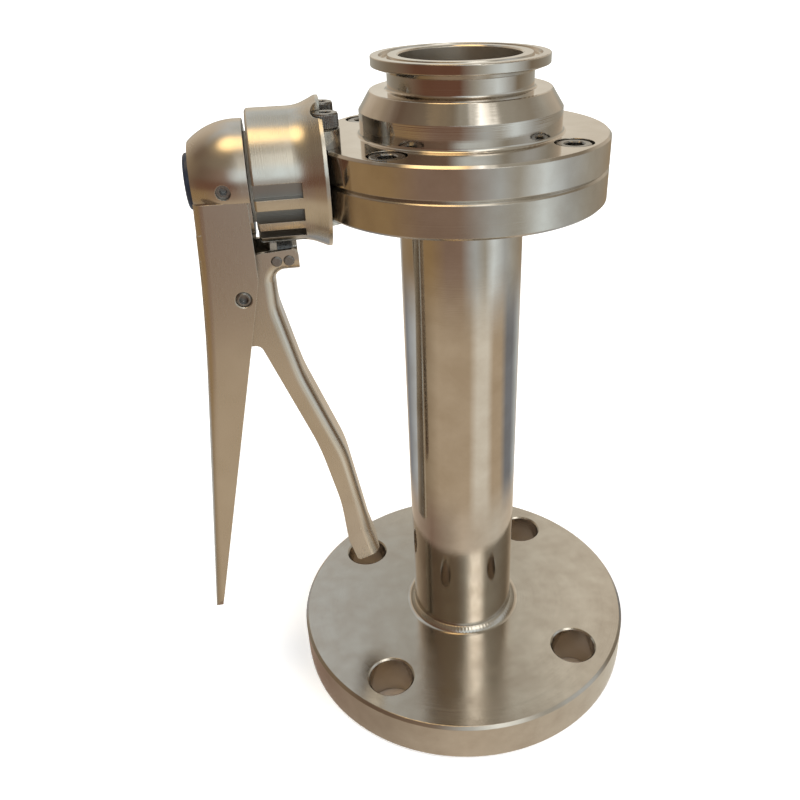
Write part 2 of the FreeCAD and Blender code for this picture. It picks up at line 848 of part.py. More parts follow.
def lever_head():
    """Domed head clamped on the stem, flattened below so that the lever's walls seat on it."""
    owner = new_body("lever_head", z="stem_height")
    bore = "stem_r + head_fit / 2"
    dome_drop = "head_dome - sqrt(head_dome ^ 2 - (head_length - head_shoulder) ^ 2)"
    dome_width = number(f"head_outer / 2 - ({dome_drop})")
    profile = new_sketch(owner, "head_profile", "XZ_Plane")
    line = [
        (f"-s_head_end", "plug_body / 2"),
        ("-s_plug_seat", "plug_body / 2"),
        ("-s_plug_seat", bore),
        ("-s_head", bore),
        ("-s_head", "head_outer / 2"),
        ("-s_head - head_shoulder", "head_outer / 2"),
    ]
    spots = [Vector(number(x), number(y), 0) for x, y in line]
    for begin, finish in zip(spots, spots[1:]):
        profile.addGeometry(Part.LineSegment(begin, finish), False)
    end = Vector(number("-s_head_end"), dome_width, 0)
    profile.addGeometry(Part.LineSegment(end, spots[0]), False)
    radius = number("head_dome")
    centre = Vector(spots[-1].x, spots[-1].y - radius, 0)
    circle = Part.Circle(centre, Vector(0, 0, 1), radius)
    dome = Part.ArcOfCircle(circle, circle.parameter(spots[-1]), circle.parameter(end))
    arc = profile.addGeometry(dome, False)
    last = len(spots) - 1
    for i in range(last - 1):
        profile.addConstraint(Sketcher.Constraint("Coincident", i, END, i + 1, START))
    profile.addConstraint(Sketcher.Constraint("Tangent", last - 1, END, arc, START))
    profile.addConstraint(Sketcher.Constraint("Coincident", arc, END, last, START))
    profile.addConstraint(Sketcher.Constraint("Coincident", last, END, 0, START))
    profile.addConstraint(Sketcher.Constraint("Vertical", last))
    index = profile.addConstraint(Sketcher.Constraint("Radius", arc, radius))
    bind(profile, f"Constraints[{index}]", "head_dome")
    for i, (x, y) in enumerate(line[:-1]):
        pin_down(profile, i, START, x, y)
    pin_down(profile, last - 1, END, *line[-1])
    turned(owner, "head_turned", profile, "H_Axis")
    low = "-head_outer / 2 - 1"
    flats = []
    for sign in ("-", ""):
        flats.append([
            (f"{sign}lever_gap_half", "-lever_top"),
            (f"{sign}lever_gap_half", low),
            (f"{sign}head_outer / 2 * 1.2", low),
            (f"{sign}head_outer / 2 * 1.2", "-lever_top"),
        ])
    pocketed(owner, "head_flats", drawn(owner, "head_flats_plan", "YZ_Plane", *flats))
    web = [
        ("-lever_gap_half", "-lever_web_top"),
        ("-lever_gap_half", low),
        ("lever_gap_half", low),
        ("lever_gap_half", "-lever_web_top"),
    ]
    start = "-(lever_out_top - lever_sheet)"
    plan = drawn(owner, "head_foot_plan", "YZ_Plane", web, lift=start)
    pocketed(owner, "head_foot", plan, "head_length")
    width = "grub_thick + thread_play"
    plan = ringed(owner, "grub_hole_plan", "XZ_Plane", "-s_grub", "0", width)
    pocketed(owner, "grub_hole", plan, "head_outer", back=True)
    return owner


def end_plug():
    """Coloured plug that closes the head's outer end."""
    owner = new_body("end_plug", z="stem_height")
    profile = [
        ("-s_plug_seat", "0"),
        ("-s_plug_seat", "plug_body / 2"),
        ("-s_head_end", "plug_body / 2"),
        ("-s_head_end", "plug_cap / 2"),
        ("-s_head_end - plug_cap_thick", "plug_cap / 2", "plug_cap_thick / 2"),
        ("-s_head_end - plug_cap_thick", "0"),
    ]
    turned(owner, "plug_turned", drawn(owner, "plug_profile", "XZ_Plane", profile), "H_Axis")
    return owner


def grub_screw():
    """Socket set screw through the head onto the stem's flat, on the near side."""
    rod = doc.addObject("Part::Cylinder", "grub_rod")
    bind(rod, "Radius", "grub_thick / 2")
    bind(rod, "Height", "grub_length")
    socket = doc.addObject("Part::Prism", "grub_socket_tool")
    socket.Polygon = 6
    bind(socket, "Circumradius", "grub_socket / sqrt(3)")
    bind(socket, "Height", "grub_socket_depth + 1")
    bind(socket, "Placement.Base.z", "grub_length - grub_socket_depth")
    screw = doc.addObject("Part::Cut", "grub_screw")
    screw.Label = "grub_screw"
    screw.Base = rod
    screw.Tool = socket
    screw.Placement = Placement(Vector(), Rotation(Vector(1, 0, 0), 90))
    bind(screw, "Placement.Base.x", "-s_grub")
    bind(screw, "Placement.Base.y", "-(stem_r - stem_flat_depth)")
    bind(screw, "Placement.Base.z", "stem_height")
    return screw


def lever_back(inset):
    """The lever's outer line from its top to its tip, moved in by an inset."""
    return [
        (f"-(lever_out_top - {inset})", "-lever_top"),
        (f"-(lever_out_knee - {inset})", "-lever_knee", "lever_out_sweep"),
        (f"-(lever_out_tip - {inset})", "-lever_tip"),
    ]


def is_bend(edge, half, to_x, to_z):
    """True for an edge at this half width that runs down, beyond and below the given places."""
    box = edge.BoundBox
    if abs(abs(box.YMin) - half) > 1e-3 or box.YLength > 1e-3:
        return False
    return box.ZLength > 2 * box.XLength and box.XMax < to_x and box.ZMax < to_z + 1e-3


def lever_channel():
    """Lever folded from sheet: two walls and a web, deep at the head and tapering to the tip."""
    owner = new_body("lever_channel", z="stem_height")
    inner = "-(s_head - 4)"
    blank = lever_back("0") + [(inner, "-lever_tip"), (inner, "-lever_top")]
    plan = drawn(owner, "lever_blank_plan", "XZ_Plane", blank)
    padded(owner, "lever_blank", plan, "lever_width")
    middle = -number("(s_head + lever_out_top) / 2")
    half = number("lever_half")
    top = -number("lever_top")
    dressed(
        owner, "Fillet", "lever_bends", "lever_bend",
        lambda edge: is_bend(edge, half, middle, top),
    )
    beyond = "-(lever_out_tip + 5)"
    within = "-(s_head - 8)"
    knee, tip = lever_back("lever_sheet")[1:]
    hollow = [
        (beyond, "-lever_top + 5"),
        (beyond, "-lever_web_top"),
        ("-(lever_out_top - lever_sheet)", "-lever_web_top"),
        knee,
        tip,
        (tip[0], "-lever_tip - 5"),
        (within, "-lever_tip - 5"),
        (within, "-lever_top + 5"),
    ]
    plan = drawn(owner, "lever_hollow_plan", "XZ_Plane", hollow)
    pocketed(owner, "lever_hollow", plan, "2 * lever_gap_half", both=True)
    gap_half = number("lever_gap_half")
    web_top = -number("lever_web_top")
    dressed(
        owner, "Fillet", "lever_inner_bends", "lever_bend - lever_sheet",
        lambda edge: is_bend(edge, gap_half, middle, web_top),
    )
    trim = [
        (within, "-lever_top + 6"),
        ("-(s_head + lever_step)", "-lever_top + 6"),
        ("-(s_head + lever_step)", "-lever_in_knee", "lever_in_sweep"),
        ("-lever_in_tip", "-lever_tip - 1"),
        (within, "-lever_tip - 1"),
    ]
    pocketed(owner, "lever_taper", drawn(owner, "lever_taper_plan", "XZ_Plane", trim))
    corners = []
    for sign in ("-", ""):
        corners.append([
            (f"{sign}(lever_half + 1)", "-lever_tip - 1"),
            (f"{sign}(lever_half + 1)", "-lever_tip + lever_tip_round + 1"),
            (f"{sign}lever_half", "-lever_tip + lever_tip_round + 1"),
            (f"{sign}lever_half", "-lever_tip", "lever_tip_round"),
            (f"{sign}(lever_half - lever_tip_round - 1)", "-lever_tip"),
            (f"{sign}(lever_half - lever_tip_round - 1)", "-lever_tip - 1"),
        ])
    pocketed(owner, "lever_tip_ends", drawn(owner, "lever_tip_plan", "YZ_Plane", *corners))
    where = ("-trigger_pin_out", "-trigger_pin_drop", "trigger_pin_thick")
    pocketed(owner, "lever_pin_hole", ringed(owner, "lever_pin_plan", "XZ_Plane", *where))
    radius = number("trigger_pin_thick / 2")
    drop = -number("trigger_pin_drop")
    dressed(
        owner, "Chamfer", "pin_hole_edges", "pin_hole_edge",
        lambda edge: is_ring(edge, radius, drop) and abs(edge.Curve.Center.y) > gap_half + 0.1,
    )
    return owner


# Trigger


def trigger_back(inset):
    """The trigger's back from tip to nose, moved into the sheet by an inset. Where the back
    leans, its corners move out a little more, so that the sheet keeps its thickness."""
    return [
        (f"-(tip_out + {inset})", "-tip_drop"),
        (f"-(curl_out + {inset})", "-curl_drop", "curl_sweep"),
        (f"-(waist_out + {inset} * 1.03)", "-waist_drop", "waist_sweep"),
        (f"-(elbow_out + {inset} * 1.05)", "-elbow_drop", "elbow_sweep"),
        (f"-(knee_out + {inset} * 1.01)", "-knee_drop", "knee_sweep"),
        (f"-(neck_out + {inset})", f"-nose_under + {inset}", f"neck_sweep + {inset}"),
        ("-nose_out", f"-nose_under + {inset}"),
    ]


def trigger_channel():
    """Squeeze trigger folded from sheet: a nose under the drum, cheeks that hang on the pin
    between the lever's walls, and a curved finger grip that opens towards the lever."""
    owner = new_body("trigger_channel", z="stem_height")
    front = [
        ("-nose_out", "-nose_top", "nose_round"),
        ("-cheek_out", "-cheek_top", "cheek_round"),
        ("-cheek_out", "-cheek_end", "cheek_foot_round"),
        ("-grip_start", "-cheek_end", "grip_root_round"),
        ("-front_elbow_out", "-front_elbow_drop", "front_elbow_sweep"),
        ("-front_waist_out", "-front_waist_drop", "front_waist_sweep"),
        ("-front_curl_out", "-front_curl_drop", "front_curl_sweep"),
        ("-front_tip_out", "-front_tip_drop", "tip_round"),
    ]
    blank = front + trigger_back("0")
    plan = drawn(owner, "trigger_blank_plan", "XZ_Plane", blank)
    padded(owner, "trigger_blank", plan, "2 * trigger_half")
    outline = [(number(c[0]), number(c[1])) for c in trigger_back("0")]
    half = number("trigger_half")
    dressed(
        owner, "Fillet", "trigger_bends", "trigger_bend",
        lambda edge: follows(edge, half, outline),
    )
    hollow = trigger_back("trigger_sheet")
    tip_x, tip_z = hollow[0]
    nose_z = hollow[-1][1]
    hollow = [
        ("-(cheek_out + 5)", f"{tip_z} - 5"),
        (f"{tip_x} + tip_lip", f"{tip_z} - 5"),
    ] + hollow[1:-1] + [
        ("-nose_out + 5", nose_z),
        ("-nose_out + 5", "-nose_top + 5"),
        ("-(cheek_out + 5)", "-nose_top + 5"),
    ]
    plan = drawn(owner, "trigger_hollow_plan", "XZ_Plane", hollow)
    pocketed(owner, "trigger_hollow", plan, "2 * trigger_gap_half", both=True)
    inner = [(number(c[0]), number(c[1])) for c in trigger_back("trigger_sheet")]
    gap_half = number("trigger_gap_half")
    dressed(
        owner, "Fillet", "trigger_inner_bends", "trigger_bend - trigger_sheet",
        lambda edge: follows(edge, gap_half, inner),
    )
    width = "trigger_pin_thick + trigger_pin_fit"
    where = ("-trigger_pin_out", "-trigger_pin_drop", width)
    pocketed(owner, "trigger_pin_hole", ringed(owner, "trigger_pin_plan", "XZ_Plane", *where))
    rivet_holes(owner)
    return owner


def follows(edge, half, outline):
    """True for an edge at this half width that runs along an outline's middle stretch."""
    box = edge.BoundBox
    if abs(abs(box.YMin) - half) > 1e-3 or box.YLength > 1e-3:
        return False
    middle = edge.valueAt((edge.FirstParameter + edge.LastParameter) / 2)
    spot = Vector(middle.x, 0, middle.z)
    for begin, finish in zip(outline, outline[1:]):
        line = Part.LineSegment(Vector(begin[0], 0, begin[1]), Vector(finish[0], 0, finish[1]))
        if line.toShape().distToShape(Part.Vertex(spot))[0] < 0.8:
            return True
    return False


def rivet_holes(owner):
    """Two holes right through for the pawl's rivets."""
    for side, sign in (("inner", "-"), ("outer", "+")):
        where = (f"-(rivet_out {sign} rivet_spread / 2)", "-rivet_drop", "rivet_thick")
        plan = ringed(owner, f"rivet_{side}_plan", "XZ_Plane", *where)
        pocketed(owner, f"rivet_{side}_hole", plan)


def trigger_pawl():
    """Block riveted in the trigger's nose, with the tooth that fits the drum's slots."""
    owner = new_body("trigger_pawl", z="stem_height")
    near = "-(nose_out + pawl_inset)"
    block = [
        (near, "-pawl_foot"),
        ("-pawl_end", "-pawl_foot"),
        ("-pawl_end", "-pawl_foot + pawl_height"),
        (near, "-pawl_foot + pawl_height"),
    ]
    plan = drawn(owner, "pawl_plan", "XZ_Plane", block)
    padded(owner, "pawl_block", plan, "2 * trigger_gap_half")
    foot = -number("pawl_foot")
    dressed(
        owner, "Fillet", "pawl_edges", "trigger_bend - trigger_sheet",
        lambda edge: edge.BoundBox.ZMax < foot + 1e-3 and edge.BoundBox.YLength < 1e-3,
    )
    tooth = [
        (near, "-pawl_foot + 1"),
        (f"{near} - tooth_length", "-pawl_foot + 1"),
        (f"{near} - tooth_length", "-tooth_top"),
        (near, "-tooth_top"),
    ]
    padded(owner, "tooth", drawn(owner, "tooth_plan", "XZ_Plane", tooth), "tooth_width")
    rivet_holes(owner)
    return owner


def pawl_rivets():
    """Two rivets right across the trigger's nose, with low heads on its walls."""
    pieces = []
    for side, sign in (("inner", "-"), ("outer", "+")):
        out = f"rivet_out {sign} rivet_spread / 2"
        owner = new_body(f"rivet_{side}", x=f"-({out})", z="stem_height - rivet_drop")
        end = "trigger_half + rivet_head_height"
        profile = [
            ("0", f"-({end})"),
            ("rivet_head / 2 - rivet_head_height", f"-({end})"),
            ("rivet_head / 2", "-trigger_half"),
            ("rivet_thick / 2", "-trigger_half"),
            ("rivet_thick / 2", "trigger_half"),
            ("rivet_head / 2", "trigger_half"),
            ("rivet_head / 2 - rivet_head_height", end),
            ("0", end),
        ]
        plan = drawn(owner, f"rivet_{side}_profile", "XY_Plane", profile)
        turned(owner, f"rivet_{side}_turned", plan)
        pieces.append(owner)
    return together("pawl_rivets", pieces)


def pin_sleeves():
    """Three spacers on the pin: one inside the trigger, under the spring, and one on each side
    between the trigger and the lever's wall."""
    pieces = []
    for name, near, far in (
        ("inner", "-trigger_gap_half + sleeve_play", "trigger_gap_half - sleeve_play"),
        ("low", "-lever_gap_half", "-trigger_half - sleeve_play"),
        ("high", "trigger_half + sleeve_play", "lever_gap_half"),
    ):
        owner = new_body(f"sleeve_{name}", x="-trigger_pin_out", z="trigger_pin_height")
        profile = [
            ("trigger_pin_thick / 2", near),
            ("sleeve_outer / 2", near),
            ("sleeve_outer / 2", far),
            ("trigger_pin_thick / 2", far),
        ]
        plan = drawn(owner, f"sleeve_{name}_profile", "XY_Plane", profile)
        turned(owner, f"sleeve_{name}_turned", plan)
        pieces.append(owner)
    return together("pin_sleeves", pieces)


def trigger_spring():
    """Torsion spring round the sleeve: one leg on the lever's web, one on the trigger's."""
    owner = new_body("trigger_spring", x="-trigger_pin_out", z="trigger_pin_height")
    owner.Placement.Rotation = Rotation(Vector(1, 0, 0), 90) * Rotation(
        Vector(0, 0, 1), number("spring_grip_turn")
    )
    rise = "spring_pitch * (spring_turns + (spring_lever_turn - spring_grip_turn) / 360)"
    bind(owner, "Placement.Base.y", f"{rise} / 2")
    plan = ringed(owner, "coil_plan", "XZ_Plane", "spring_r", "0", "spring_wire")
    coil = owner.newObject("PartDesign::AdditiveHelix", "coil")
    coil.Profile = plan
    coil.ReferenceAxis = (plan, ["V_Axis"])
    coil.Mode = "pitch-height-angle"
    bind(coil, "Pitch", "spring_pitch")
    bind(coil, "Height", rise)
    plan = ringed(owner, "grip_leg_plan", "XZ_Plane", "spring_r", "0", "spring_wire")
    padded(owner, "grip_leg", plan, "spring_grip_leg", both=False)
    plan = ringed(owner, "lever_leg_plan", "XZ_Plane", "spring_r", rise, "spring_wire")
    angle = number("spring_lever_turn - spring_grip_turn")
    plan.AttachmentOffset = Placement(Vector(), Rotation(Vector(0, 1, 0), angle))
    padded(owner, "lever_leg", plan, "spring_lever_leg", both=False, back=True)
    return owner


def trigger_pin():
    """Pivot pin, riveted flush in the lever's walls."""
    owner = new_body("trigger_pin", x="-trigger_pin_out", z="trigger_pin_height")
    radius = "trigger_pin_thick / 2"
    profile = [
        ("0", "-lever_half + pin_dimple_depth"),
        ("pin_dimple / 2", "-lever_half + pin_dimple_depth"),
        ("pin_dimple / 2", "-lever_half"),
        (f"{radius} - pin_edge", "-lever_half"),
        (radius, "-lever_half + pin_edge"),
        (radius, "lever_half - pin_edge"),
        (f"{radius} - pin_edge", "lever_half"),
        ("pin_dimple / 2", "lever_half"),
        ("pin_dimple / 2", "lever_half - pin_dimple_depth"),
        ("0", "lever_half - pin_dimple_depth"),
    ]
    turned(owner, "pin_turned", drawn(owner, "pin_profile", "XY_Plane", profile))
    return owner


makers = [
    base_flange, outlet_pipe, lower_body, upper_body, seat_ring, stem_bushes, stem_seal,
    body_screws, ear_screws, index_drum, drum_bush, thrust_washer, flap, lever_head, end_plug,
    grub_screw, lever_channel, trigger_pin, pin_sleeves, trigger_spring, trigger_channel,
    trigger_pawl, pawl_rivets,
]
pieces = []
for make in makers:
    made = make()
    pieces += made if isinstance(made, list) else [made]
doc.recompute()

for thing in doc.Objects:
    if {"Invalid", "Error"} & set(thing.State):
        raise SystemExit(f"{thing.Name} failed: {thing.State}")
os.makedirs("parts", exist_ok=True)
for piece in pieces:
    if piece.Shape.isNull() or not piece.Shape.isValid():
        raise SystemExit(f"{piece.Label} has no valid shape")
for piece in pieces:
    piece.Shape.exportStep(f"parts/{piece.Label}.step")
    print(piece.Label, len(piece.Shape.Solids), round(piece.Shape.Volume, 1))
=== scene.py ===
# %% [markdown]
# # A flap valve in stainless steel
# This lesson dresses a flap valve for a sanitary pipe line. The shapes come from a packed
# construction model, so here we set the camera, the light and the finish of each metal, and
# make a few small pieces again that look better as a sweep or a repeat: the weld beads, the
# knurled screws and the coiled spring. The folded lever is copied and shaded again.
# We start by loading the fixed model.

# %% Load the fixed model
import math

import bmesh
import bpy
from mathutils import Matrix, Vector


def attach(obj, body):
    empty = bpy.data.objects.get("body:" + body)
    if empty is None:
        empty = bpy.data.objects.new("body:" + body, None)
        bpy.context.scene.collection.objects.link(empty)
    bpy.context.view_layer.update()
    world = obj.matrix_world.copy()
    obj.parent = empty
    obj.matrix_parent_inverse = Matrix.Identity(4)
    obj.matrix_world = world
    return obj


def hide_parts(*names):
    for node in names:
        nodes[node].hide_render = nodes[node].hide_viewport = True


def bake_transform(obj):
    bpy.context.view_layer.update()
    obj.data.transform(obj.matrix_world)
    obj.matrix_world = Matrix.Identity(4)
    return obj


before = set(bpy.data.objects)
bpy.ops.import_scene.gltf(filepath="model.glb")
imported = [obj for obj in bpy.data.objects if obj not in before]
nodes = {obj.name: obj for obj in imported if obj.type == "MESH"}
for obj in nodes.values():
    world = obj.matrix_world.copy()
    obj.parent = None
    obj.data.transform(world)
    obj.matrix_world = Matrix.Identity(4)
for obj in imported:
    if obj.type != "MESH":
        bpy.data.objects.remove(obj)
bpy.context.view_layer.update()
print("pieces loaded:", len(nodes))

# %% [markdown]
# A camera could be moved by hand until the picture fits. Here its place was worked out instead,
# from the ellipses that the round flanges make in the picture. It stands close by, a little
# above the ferrule and to the lever's side. A close camera makes the foot look much smaller than
# it would from afar, so the place matters more than the lens. We give the camera the three
# directions of its own frame as columns. An object only shows when the scene holds it, so one
# small helper makes an object and links it.

# %% Set the camera where the photograph was taken
CAMERA_PLACE = Vector((-0.0533, -0.2307, 0.2467))
LOOK = Vector((0.1548, 0.8493, -0.5048)).normalized()
ROLL_UP = Vector((0.1176, 0.4915, 0.8629))
SENSOR = 36.0
FOCAL_PIXELS = 784
PICTURE_SIDE = 800
OPTIC_CENTRE = 430
NEAR_CLIP = 0.01


def new_object(name, data):
    """An object with this data, linked to the scene."""
    made = bpy.data.objects.new(name, data)
    bpy.context.scene.collection.objects.link(made)
    return made


camera_data = bpy.data.cameras.new("camera")
camera_data.sensor_width = SENSOR
camera_data.lens = SENSOR * FOCAL_PIXELS / PICTURE_SIDE
camera_data.shift_x = (PICTURE_SIDE / 2 - OPTIC_CENTRE) / PICTURE_SIDE
camera_data.clip_start = NEAR_CLIP
camera = new_object("camera", camera_data)
right = LOOK.cross(ROLL_UP).normalized()
up = right.cross(LOOK)
own_frame = Matrix((right, up, -LOOK)).transposed().to_4x4()
camera.matrix_world = Matrix.Translation(CAMERA_PLACE) @ own_frame
bpy.context.scene.camera = camera
print("lens", round(camera_data.lens, 1), "mm, shift", round(camera_data.shift_x, 4))

# %% [markdown]
# A finish can be put together by hand in the Shader Editor, or in code as we do here. Either
# way it is a small network of nodes. One helper adds a node and fills its sockets: a socket
# given for an input is linked, and anything else is set as a plain value.

# %% A helper that adds a node
def add(tree, kind, inputs=None, **settings):
    """Add a node, set its own settings, then link or set each named input."""
    made = tree.nodes.new(kind)
    for name, value in settings.items():
        setattr(made, name, value)
    for name, value in (inputs or {}).items():
        if isinstance(value, bpy.types.NodeSocket):
            tree.links.new(value, made.inputs[name])
        else:
            made.inputs[name].default_value = value
    return made


# %% [markdown]
# The finishes need the same few steps again and again: the place of a point, a sum, a length and
# a range. Each step could be written out every time, but with a short helper for each a finish
# reads like a recipe.

# %% Helpers for places and numbers
def here(tree):
    """The place of a point in its object, in metres."""
    return add(tree, "ShaderNodeTexCoord").outputs["Object"]


def reckon(tree, operation, first, second):
    """A number worked out from two numbers."""
    return add(tree, "ShaderNodeMath", {0: first, 1: second}, operation=operation).outputs[0]


def reckon_vector(tree, operation, first, second):
    """A vector worked out from two vectors."""
    made = add(tree, "ShaderNodeVectorMath", {0: first, 1: second}, operation=operation)
    return made.outputs[0]


def length_of(tree, vector):
    """The length of a vector."""
    return add(tree, "ShaderNodeVectorMath", {0: vector}, operation="LENGTH").outputs["Value"]


def stretch(tree, value, start, stop, low=0.0, high=1.0, curve="LINEAR"):
    """A value stretched from one range onto another, and held at its ends."""
    ends = {0: value, 1: start, 2: stop, 3: low, 4: high}
    return add(tree, "ShaderNodeMapRange", ends, interpolation_type=curve).outputs[0]


# %% [markdown]
# We write a tint with three numbers, but a colour socket wants a fourth. One helper adds it, one
# mixes two colours, and one makes a material. It sets the plain values first, so that they are
# there even where nodes take over later.

# %% Helpers for colours and materials
def rgba(colour):
    """A tint with its fourth number. A socket stays as it is."""
    return colour if isinstance(colour, bpy.types.NodeSocket) else (*colour, 1)


def mixed(tree, share, first, second):
    """A colour between two by a share. Each of them is a tint or a socket."""
    ends = {0: share, 6: rgba(first), 7: rgba(second)}
    return add(tree, "ShaderNodeMix", ends, data_type="RGBA").outputs[2]


def new_finish(name, colour, metallic, roughness):
    """A material with its main shader, its constants set on the shader's own sockets."""
    finish = bpy.data.materials.new(name)
    finish.use_nodes = True
    shader = finish.node_tree.nodes["Principled BSDF"]
    shader.inputs["Base Color"].default_value = rgba(colour)
    shader.inputs["Metallic"].default_value = metallic
    shader.inputs["Roughness"].default_value = roughness
    return finish, finish.node_tree, shader


# %% [markdown]
# The valve stands on a white floor. To light a floor to white takes so much light that the steel
# would burn out, so a little glow that only the camera and reflections see does it instead, and
# leaves the object's soft shadow. The floor is one round face, so wide that its edge is never
# seen. A helper lays its points on a circle, and later the rings of the sheets and the screws.

# %% Lay the floor
FLOOR_RADIUS = 12.0
FLOOR_POINTS = 64
FLOOR_DROP = 0.0004


def circle_points(radius, height, count):
    """Points on a level circle round the upright axis."""
    turns = [math.tau * i / count for i in range(count)]
    return [(radius * math.cos(turn), radius * math.sin(turn), height) for turn in turns]


floor_mesh = bpy.data.meshes.new("floor")
edge = circle_points(FLOOR_RADIUS, -FLOOR_DROP, FLOOR_POINTS)
floor_mesh.from_pydata(edge, [], [tuple(range(FLOOR_POINTS))])
floor = new_object("floor", floor_mesh)
print("floor radius:", FLOOR_RADIUS, "m")

# %% [markdown]
# Some rays only look at the background: those from the camera, off gloss or through glass. The
# floor glows for them alone. Under the base it is brown and has no glow, so that the bolt holes
# look down on something dark.

# %% Paint the floor
FLOOR_WHITE = (0.9, 0.9, 0.9)
FLOOR_ROUGHNESS = 0.9
FLOOR_GLOW = 0.42
GLOW_ENDS = (0.3, 1.2)
UNDER_BASE = 0.061
UNDER_EDGE = 0.001
UNDER_BROWN = (0.66, 0.55, 0.46)
PURE_WHITE = (1.0, 1.0, 1.0)


def seen_as_background(tree):
    """1 for rays that look at the background: from the camera, off gloss or through glass."""
    rays = add(tree, "ShaderNodeLightPath").outputs
    seen = reckon(tree, "MAXIMUM", rays["Is Camera Ray"], rays["Is Glossy Ray"])
    return reckon(tree, "MAXIMUM", seen, rays["Is Transmission Ray"])


floor_paint, tree, shader = new_finish("floor_paint", FLOOR_WHITE, 0.0, FLOOR_ROUGHNESS)
away = length_of(tree, here(tree))
covered = stretch(tree, away, UNDER_BASE, UNDER_BASE + UNDER_EDGE)
lit = reckon(tree, "MULTIPLY", stretch(tree, away, *GLOW_ENDS, FLOOR_GLOW, 1.0), covered)
glow = reckon(tree, "MULTIPLY", seen_as_background(tree), lit)
tree.links.new(mixed(tree, covered, UNDER_BROWN, FLOOR_WHITE), shader.inputs["Base Color"])
tree.links.new(glow, shader.inputs["Emission Strength"])
shader.inputs["Emission Color"].default_value = rgba(PURE_WHITE)
shader.inputs["Specular IOR Level"].default_value = 0.0
floor_mesh.materials.append(floor_paint)
print("floor glow near the valve:", FLOOR_GLOW)

# %% [markdown]
# The world is white for the same rays as the floor. To all others it is dimmer, so that it lights
# the object at a plain level, at which a colour renders about as it is written.

# %% Light the world
WORLD_LEVEL = 0.55

world = bpy.data.worlds.new("studio")
bpy.context.scene.world = world
world.use_nodes = True
tree = world.node_tree
background = tree.nodes["Background"]
background.inputs["Color"].default_value = rgba(PURE_WHITE)
level = stretch(tree, seen_as_background(tree), 0.0, 1.0, WORLD_LEVEL, 1.0)
tree.links.new(level, background.inputs["Strength"])
print("world level:", WORLD_LEVEL)

# %% [markdown]
# Three soft lamps give the shadow its direction: a large one from the right, a small warm one
# from above and a weak one from the left. Gloss doesn't see them, because a bare square of light
# would show in polished steel. The sheets further on give the steel its highlights.

# %% Hang the lamps
MIDDLE = Vector((0, 0, 0.11))


def add_lamp(name, place, side, power, tint=PURE_WHITE):
    """A square soft lamp that looks at the object's middle and isn't mirrored."""
    data = bpy.data.lights.new(name, "AREA")
    data.shape = "SQUARE"
    data.size = side
    data.energy = power
    data.color = tint
    lamp = new_object(name, data)
    lamp.location = place
    lamp.rotation_euler = (MIDDLE - Vector(place)).to_track_quat("-Z", "Y").to_euler()
    lamp.visible_glossy = False


add_lamp("window", (0.7, -0.5, 0.9), side=1.0, power=8.0)
add_lamp("ceiling_lamp", (-0.35, 0.0, 1.1), side=0.5, power=4.0, tint=(1.0, 0.84, 0.60))
add_lamp("fill", (-0.9, -0.7, 0.5), side=0.8, power=3.0)

# %% [markdown]
# Polished steel only looks like steel when it has something to mirror. A picture of a room
# could be wrapped round the scene, but three tinted sheets that only reflections see need no
# picture: one on the ground, one as a ring round the valve and one on top. Their colours change
# softly with the bearing, so no hard line shows in the steel. A gradient that turns round the
# upright axis gives the bearing, and a ramp makes it a colour. A little noise moves each point
# first, so that the bands aren't ruler-straight.

# %% Turn a bearing into a colour
GRADIENT_START = 90
WANDER_SCALE = 4.0
NOISE_MIDDLE = (0.5, 0.5, 0.5)


def bearing_ramp(tree, stops, wander):
    """A colour by bearing, in degrees from the front to the right, its bands moved by noise.
    Both ends of the ramp get the same colour, so that the circle closes without a line."""
    place = here(tree)
    noise = add(tree, "ShaderNodeTexNoise",
                {"Vector": place, "Scale": WANDER_SCALE, "Detail": 1.0}).outputs["Color"]
    centred = reckon_vector(tree, "SUBTRACT", noise, NOISE_MIDDLE)
    moved = add(tree, "ShaderNodeVectorMath", {0: centred, "Scale": wander}, operation="SCALE")
    spot = reckon_vector(tree, "ADD", place, moved.outputs[0])
    turn = add(tree, "ShaderNodeTexGradient", {"Vector": spot}, gradient_type="RADIAL")
    ramp = add(tree, "ShaderNodeValToRGB", {"Fac": turn.outputs["Fac"]})
    marks = sorted(((bearing + GRADIENT_START) % 360 / 360, colour) for bearing, colour in stops)
    (first, first_colour), (last, last_colour) = marks[0], marks[-1]
    seam = Vector(last_colour).lerp(Vector(first_colour), (1 - last) / (first + 1 - last))
    elements = ramp.color_ramp.elements
    for element in elements:
        element.color = rgba(seam)
    for share, colour in marks:
        elements.new(share).color = rgba(colour)
    return ramp.outputs["Color"]


# %% [markdown]
# A sheet glows by itself, so no lamp and no shadow changes it, and it is hidden from every ray
# but a reflected one. Where two ramps meet, a soft fade hides the line between them.

# %% Helpers for a sheet that only reflections see
def fade(tree, value, ends, first, second):
    """A colour that goes softly from the first to the second as a value passes two ends."""
    return mixed(tree, stretch(tree, value, *ends, curve="SMOOTHSTEP"), first, second)


def mirror_sheet(name, corners, faces, paint):
    """A glowing sheet that only reflections see. paint(tree) gives its colour."""
    mesh = bpy.data.meshes.new(name)
    mesh.from_pydata(corners, [], faces)
    finish = bpy.data.materials.new(name)
    finish.use_nodes = True
    tree = finish.node_tree
    tree.nodes.clear()
    shine = add(tree, "ShaderNodeEmission", {"Color": paint(tree), "Strength": 1.0})
    add(tree, "ShaderNodeOutputMaterial", {"Surface": shine.outputs[0]})
    mesh.materials.append(finish)
    sheet = new_object(name, mesh)
    for kind in ("camera", "diffuse", "shadow", "transmission", "volume_scatter"):
        setattr(sheet, "visible_" + kind, False)


